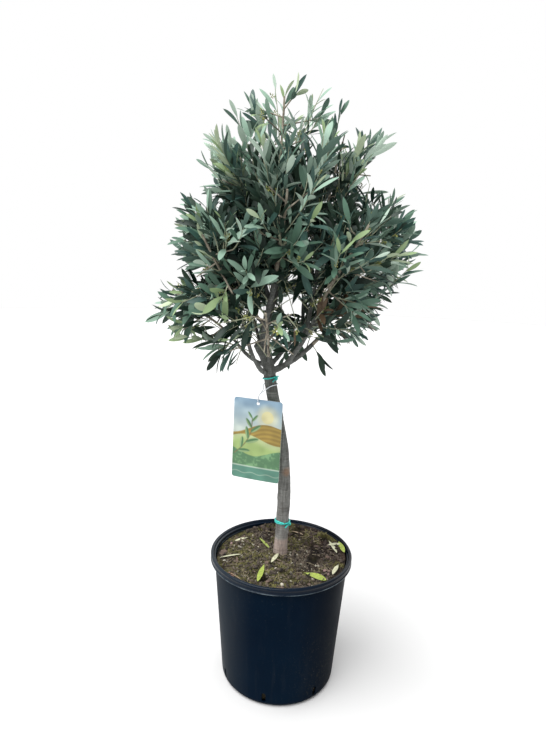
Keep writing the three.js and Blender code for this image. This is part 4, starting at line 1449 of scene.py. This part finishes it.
# stem ties: a soft cord wound round the stem, its ends crossing at the front right
tieShape = {
    # where on the stem, and how many turns
    "low": (0.185, 1.9), "high": (0.845, 1.15),
    "cord": 1.4, "pitch": 3.4, "start": 2.2, "clear": 0.7, "steps": 90, "sides": 12, "dome": 0.8,
    # how far a loose end runs on, stands out and drops, at the first and at the last
    "tail": 4.5, "tailOut": 2.5, "tailDrops": (3.5, 2),
    # the knot is a short turn of thinner cord: where on the tie's path, and its turns and size
    "knotAt": 4, "knotTurns": 1.15, "knotSteps": 24, "knotCord": 1.1, "knotWide": 2.1,
    "knotOut": 0.6, "knotHigh": 2.6, "knotPitch": 1.1,
}


# a helix: middle + (across·cos a + over·sin a)·R + along·rise·share, with a tail at each end; and
# the place, the way on and the way out where its knot sits
def tiePath(at, turns):
    s = tieShape
    path, radii = limbs["trunk"]
    middle, along = pointAt(path, at), tangentAt(path, at)
    across = unit(np.cross(along, [0, 1, 0]))
    over = np.cross(along, across)
    wide = np.interp(at, np.linspace(0, 1, len(radii)), radii) + s["clear"] + s["cord"]
    share = np.linspace(0, 1, s["steps"])
    turn = s["start"] + share * turns * 2 * math.pi
    outward, ahead = swing(across, over, turn), swing(over, -across, turn)
    coil = middle + outward * wide + along * (share[:, None] - 0.5) * turns * s["pitch"]
    first, last = [coil[end] + way * ahead[end] * s["tail"] + outward[end] * s["tailOut"]
                   - skyward * drop for end, way, drop in zip((0, -1), (-1, 1), s["tailDrops"])]
    knot = s["knotAt"]
    path = through([first, *coil[3:-3:2], last], s["steps"] * 2)
    return path, coil[knot], ahead[knot], outward[knot]


# the knot: place + outward·(R·cos a + out) + upward·h·sin a, which moves on along the cord
def knotPath(place, ahead, outward):
    s = tieShape
    a = np.linspace(0, 2 * math.pi * s["knotTurns"], s["knotSteps"])[:, None]
    wrap = place + outward * (s["knotWide"] * np.cos(a) + s["knotOut"])
    return wrap + skyward * s["knotHigh"] * np.sin(a) + ahead * (a / math.pi - 1) * s["knotPitch"]


def makeTies():
    s = tieShape
    vinyl = tonedMaterial("tie_vinyl", (0.02, 0.4, 0.35), 0.35, (0.01, 0.28, 0.25), (0.04, 0.5, 0.44),
                          160, Specular_IOR_Level=0.4)
    for name in ("low", "high"):
        path, *knot = tiePath(*s[name])
        cords = ((path, s["cord"]), (knotPath(*knot), s["knotCord"]))
        surfaces = [limbSurface(line[None], np.full((1, len(line)), radius), s["sides"], s["dome"])
                    for line, radius in cords]
        tie = addPiece("stem_tie_" + name, *gathered(surfaces), [vinyl], slot="tie")
        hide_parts("tie_" + name)


makeTies()


# the label: a printed card that hangs at the left of the stem
labelShape = {
    "width": 96, "height": 158, "thickness": 0.9, "corner": 5, "yaw": -17, "roll": -1,
    "topCentre": (-53, -20, 573), "holeRadius": 3, "holeDrop": 8, "holeRing": 7,
    # how far its middle bows out, and over which stretch from the top
    "bow": 1.4, "bowFrom": 10, "bowTo": 90,
}
# its print, from the top of the card down in mm: sky, hills, a sprig and a band at the foot
printColours = {
    "zenith": (0.259, 0.396, 0.592), "haze": (0.518, 0.576, 0.576), "sun": (0.662, 0.605, 0.368),
    "glow": (0.619, 0.605, 0.448), "field": (0.36, 0.245, 0.056), "furrow": (0.194, 0.122, 0.032),
    "meadow": (0.302, 0.403, 0.16), "slope": (0.446, 0.504, 0.288), "wood": (0.0864, 0.194, 0.104),
    "glade": (0.158, 0.302, 0.16), "band": (0.0864, 0.216, 0.176), "line": (0.396, 0.49, 0.44),
    "stalk": (0.173, 0.122, 0.056), "blade": (0.072, 0.173, 0.08), "shine": (0.302, 0.403, 0.216),
}
printLayout = {
    "haze": 62, "sun": (20, 33, 12), "glow": 2.4, "field": 56, "meadow": 78, "wood": 104,
    "band": 133, "bandLine": 1.1, "wave": 13, "waveLine": 0.8,
    # the sprig's curve, its stalk's half width, and its leaves: share along it, which side, length
    "sprig": [(-44, 110), (-26, 92), (-12, 66), (-10, 38)], "stalk": 1.0,
    "leaves": [(0.12, 1, 24), (0.22, -1, 22), (0.4, 1, 27), (0.5, -1, 24), (0.68, 1, 24),
               (0.78, -1, 21), (0.93, 1, 17), (1.0, -1, 15)],
    "leafAngle": 38, "leafSlim": 0.15,
    # the whole is toned down, and unevenly
    "tone": (0.8, 0.82, 0.74), "uneven": 0.16,
}


# a place on the card (across, out, down) set where it hangs: tipped by roll, turned by yaw
def hung(local):
    s = labelShape
    roll, yaw = math.radians(-s["roll"]), math.radians(s["yaw"])
    x, y, down = np.moveaxis(np.asarray(local, float), -1, 0)
    x, z = x * math.cos(roll) - down * math.sin(roll), -x * math.sin(roll) - down * math.cos(roll)
    x, y = x * math.cos(yaw) - y * math.sin(yaw), x * math.sin(yaw) + y * math.cos(yaw)
    return np.stack([x, y, z], axis=-1) + s["topCentre"]


def paint(below, colour, cover):  # below·(1 − cover) + colour·cover
    return below + (printColours[colour] - below) * np.clip(cover, 0, 1)[..., None]


def edge(distance):  # 1 inside a shape, 0 outside, soft over about a millimetre
    return ease(distance, -0.6, 0.6)


# the sky: two tones that blend downwards, and a sun in its glow
def printedSky(x, down, soft):
    lay = printLayout
    art = paint(np.zeros(x.shape + (3,)) + printColours["zenith"], "haze", down / lay["haze"] + 0.12 * soft)
    sunX, sunDown, sunRadius = lay["sun"]
    away = np.hypot(x - sunX, down - sunDown)
    art = paint(art, "glow", 0.7 * (1 - ease(away, sunRadius, sunRadius * lay["glow"])))
    return paint(art, "sun", edge(sunRadius - away))


# the hills, each below its own wave: a ploughed field, a meadow and a wood
def printedHills(art, x, down, soft, fine):
    lay = printLayout
    past = down - (lay["field"] - 7 * np.sin(x / 19 + 0.9) - 0.12 * x)
    rows = 0.5 + 0.5 * np.sin(past * 0.75 + x * 0.05)
    art = paint(art, "field", edge(past))
    art = paint(art, "furrow", edge(past) * rows * 0.6)
    past = down - (lay["meadow"] + 8 * np.sin(x / 21 - 0.5))
    art = paint(art, "meadow", edge(past))
    art = paint(art, "slope", edge(past) * (1 - ease(past, 0, 16)) * 0.9)
    past = down - (lay["wood"] + 7 * np.cos(x / 17 + 0.4) + 1.2 * soft)
    art = paint(art, "wood", edge(past))
    return paint(art, "glade", edge(past) * ease(fine + soft, -0.2, 0.9))


# the sprig: its stalk as a thick line, each leaf as x²/a² + y²/b² < 1 in its own directions
def printedSprig(art, x, down):
    lay = printLayout
    curve = through([(*place, 0) for place in lay["sprig"]], 60)
    near = np.min([np.hypot(x - point[0], down - point[1]) for point in curve], axis=0)
    art = paint(art, "stalk", edge(lay["stalk"] - near))
    for share, side, long in lay["leaves"]:
        root, along = pointAt(curve, share), tangentAt(curve, share)
        angle = math.atan2(along[1], along[0]) + side * math.radians(lay["leafAngle"])
        u = (x - root[0]) * math.cos(angle) + (down - root[1]) * math.sin(angle) - long / 2
        v = (down - root[1]) * math.cos(angle) - (x - root[0]) * math.sin(angle)
        slim = long * lay["leafSlim"]
        inside = (1 - np.hypot(u / (long / 2), v / slim)) * slim
        art = paint(art, "blade", edge(inside))
        art = paint(art, "shine", edge(inside) * ease(v * side, 0.2, 1.2) * 0.8)
    return art


# the colours of the print at places on the card, painted one over the other
def printed(x, down):
    lay, place = printLayout, flatly(x, down)
    soft, fine = field(place / 12, 61), field(place / 3.2, 62)
    art = printedHills(printedSky(x, down, soft), x, down, soft, fine)
    art = printedSprig(art, x, down)
    past = down - lay["band"]
    art = paint(art, "band", edge(past))
    art = paint(art, "line", edge(lay["bandLine"] - np.abs(past)))
    wave = np.abs(past - lay["wave"] - 1.5 * np.sin(x / 5))
    art = paint(art, "line", 0.5 * edge(lay["waveLine"] - wave))
    return art * lay["tone"] * (1 + lay["uneven"] * soft[..., None])


# the card's front: a grid of millimetres, its corners rounded by u·√(1 − v²/2), and square rings
# about the hole drawn in to circles
def cardSurface():
    s = labelShape
    w, h, c = s["width"] // 2, s["height"], s["corner"]
    x, down = np.meshgrid(np.arange(-w, w + 1.0), np.arange(0, h + 1.0), indexing="ij")
    beside, beyond = np.abs(x) - (w - c), np.abs(down - h / 2) - (h / 2 - c)
    u, v = np.clip(beside, 0, c) / c, np.clip(beyond, 0, c) / c
    inX, inDown = np.minimum(np.abs(x), w - c), np.minimum(np.abs(down - h / 2), h / 2 - c)
    roundX = np.sign(x) * (inX + c * u * np.sqrt(1 - v**2 / 2))
    roundDown = h / 2 + np.sign(down - h / 2) * (inDown + c * v * np.sqrt(1 - u**2 / 2))
    dx, dz = x, down - s["holeDrop"]
    ring = np.maximum(np.abs(dx), np.abs(dz))
    away = np.maximum(np.hypot(dx, dz), 1e-6)
    t = np.clip((ring - s["holeRadius"]) / (s["holeRing"] - s["holeRadius"]), 0, 1)
    near = ring <= s["holeRing"]
    px = np.where(near, s["holeRadius"] * dx / away * (1 - t) + dx * t, roundX)
    pz = np.where(near, s["holeDrop"] + s["holeRadius"] * dz / away * (1 - t) + dz * t, roundDown)
    bow = s["bow"] * (1 - (px / w) ** 2) * ease(pz, s["bowFrom"], s["bowTo"])
    columns = x.shape[1]
    i, j = np.meshgrid(np.arange(x.shape[0] - 1), np.arange(columns - 1), indexing="ij")
    corner = (i * columns + j).ravel()
    faces = np.stack([corner, corner + 1, corner + columns + 1, corner + columns], axis=1)
    faces = faces[ring.ravel()[faces].max(axis=1) > s["holeRadius"]]
    used, faces = np.unique(faces, return_inverse=True)
    places = np.stack([px, -s["thickness"] - bow, pz], axis=-1).reshape(-1, 3)
    return places[used], faces.reshape(-1, 4)


def makeLabel():
    places, faces = cardSurface()
    card, shader = newMaterial("label_print", (0.4, 0.5, 0.4), 0.32, Specular_IOR_Level=0.4)
    art = node(card, "Attribute", attribute_name="print")["Color"]
    link(card, art, shader.inputs["Base Color"])
    plain, _ = newMaterial("label_card", (0.6, 0.66, 0.6), 0.5)
    label = addPiece("picture_label", hung(places), [faces], [card, plain], slot="label")
    colours = np.concatenate([printed(places[:, 0], places[:, 2]), np.ones((len(places), 1))], axis=1)
    layer = label.data.color_attributes.new("print", "FLOAT_COLOR", "POINT")
    layer.data.foreach_set("color", colours.astype(np.float32).ravel())
    thick = label.modifiers.new("thickness", "SOLIDIFY")
    thick.thickness, thick.offset = labelShape["thickness"] * mm, -1
    thick.material_offset, thick.material_offset_rim = 1, 1
    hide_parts("label")
    print("label:", len(faces), "faces")


makeLabel()


# the label's string: two strands twisted together in a loop through the card and round the stem
stringShape = {"strand": 0.5, "apart": 0.42, "pitch": 7, "at": 0.818, "clear": 1.4, "half": 0.8,
               "offCard": 1.9, "steps": 420, "sides": 8}


def stringPath():
    s, card = stringShape, labelShape
    path, radii = limbs["trunk"]
    middle = pointAt(path, s["at"])
    wide = np.interp(s["at"], np.linspace(0, 1, len(radii)), radii) + s["clear"] + s["half"]
    front, behind = -card["thickness"] - s["offCard"], s["offCard"]

    def onCard(across, out, up):
        return hung([across, out, card["holeDrop"] - up])

    def onStem(degrees, below=0, out=0):
        return middle + heading(math.radians(degrees)) * (wide + out) - skyward * below

    return through([
        onCard(0, -card["thickness"] / 2, 0.6), onCard(0, front, 5), onCard(0.5, front, 14),
        onStem(-120, 8, 2), onStem(-85, 2), onStem(-35), onStem(20), onStem(75), onStem(130),
        onStem(180, 2), onStem(212, 8, 2), onCard(0, behind, 14), onCard(0, behind, 5),
    ], s["steps"] + 1, closed=True)[:-1]


# an across direction carried along a closed path without turning about it
def carried(tangents):
    across = [unit(np.cross(tangents[0], skyward))]
    for tangent in np.concatenate([tangents[1:], tangents[:1]]):
        across.append(unit(across[-1] - tangent * dot(across[-1], tangent)))
    return np.array(across[:-1]), across[-1]


# each strand: the path + (across·cos + over·sin)·apart, turning once in every pitch; its rings
# the same way with the strand's radius
def makeString():
    s = stringShape
    path = stringPath()
    ahead = unit(np.roll(path, -1, axis=0) - np.roll(path, 1, axis=0))
    across, last = carried(ahead)
    over = np.cross(ahead, across)
    gap = math.atan2(last @ over[0], last @ across[0])
    length = np.linalg.norm(np.diff(path, axis=0), axis=1).sum()
    turns = round(length / s["pitch"]) * 2 * math.pi - gap
    turn = np.linspace(0, turns, len(path), endpoint=False)
    ring = swing(across[:, None], over[:, None], circle(s["sides"]))
    faces = gridFaces(len(path), s["sides"], closedRows=True)
    strands = [path + swing(across, over, turn + half) * s["apart"] for half in (0, math.pi)]
    surfaces = [(strand[:, None] + ring * s["strand"], [faces]) for strand in strands]
    cotton = tonedMaterial("string_cotton", (0.7, 0.74, 0.78), 0.75, (0.55, 0.6, 0.66),
                           (0.84, 0.86, 0.88), 900, 2, Sheen_Weight=0.3)
    string = addPiece("twisted_string", *gathered(surfaces), [cotton], crease=180, slot="string")
    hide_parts("label_string")
    print("string:", round(length), "mm long")


makeString()


# plain studio: a pale floor and soft light from the upper left, the front and behind
studio = {
    "floor": (0.5, 0.5, 0.5), "floorRadius": 9000, "floorSides": 96,
    "world": (1.0, 1.0, 1.0), "worldStrength": 1.0,
    # the lamps: where each shines from, how wide it is in degrees, and its strength
    "lamps": [((-1.0, -0.8, 2.4), 60, 5.0), ((1.2, 1.6, 1.6), 40, 0.7)],
}


def makeFloor():
    s = studio
    sides = s["floorSides"]
    points = np.concatenate([s["floorRadius"] * heading(circle(sides)), [0 * skyward]])
    j = np.arange(sides)
    faces = np.stack([j, (j + 1) % sides, np.full(sides, sides)], axis=1)
    mesh = bpy.data.meshes.new("floor")
    mesh.from_pydata((points * mm).tolist(), [], faces.tolist())
    floor = bpy.data.objects.new("floor", mesh)
    bpy.context.collection.objects.link(floor)
    mesh.materials.append(newMaterial("floor", s["floor"], 0.9)[0])


def makeStudio():
    s = studio
    makeFloor()
    world = bpy.data.worlds.new("studio")
    world.use_nodes = True
    back = world.node_tree.nodes["Background"]
    back.inputs["Color"].default_value = (*s["world"], 1)
    back.inputs["Strength"].default_value = s["worldStrength"]
    bpy.context.scene.world = world
    for place, wide, strength in s["lamps"]:
        light = bpy.data.lights.new("soft_light", "SUN")
        light.angle, light.energy = math.radians(wide), strength
        holder = bpy.data.objects.new("soft_light", light)
        holder.location = place
        holder.rotation_euler = Vector(place).to_track_quat("Z", "Y").to_euler()
        bpy.context.collection.objects.link(holder)
    bpy.context.scene.view_settings.view_transform = "Standard"


makeStudio()
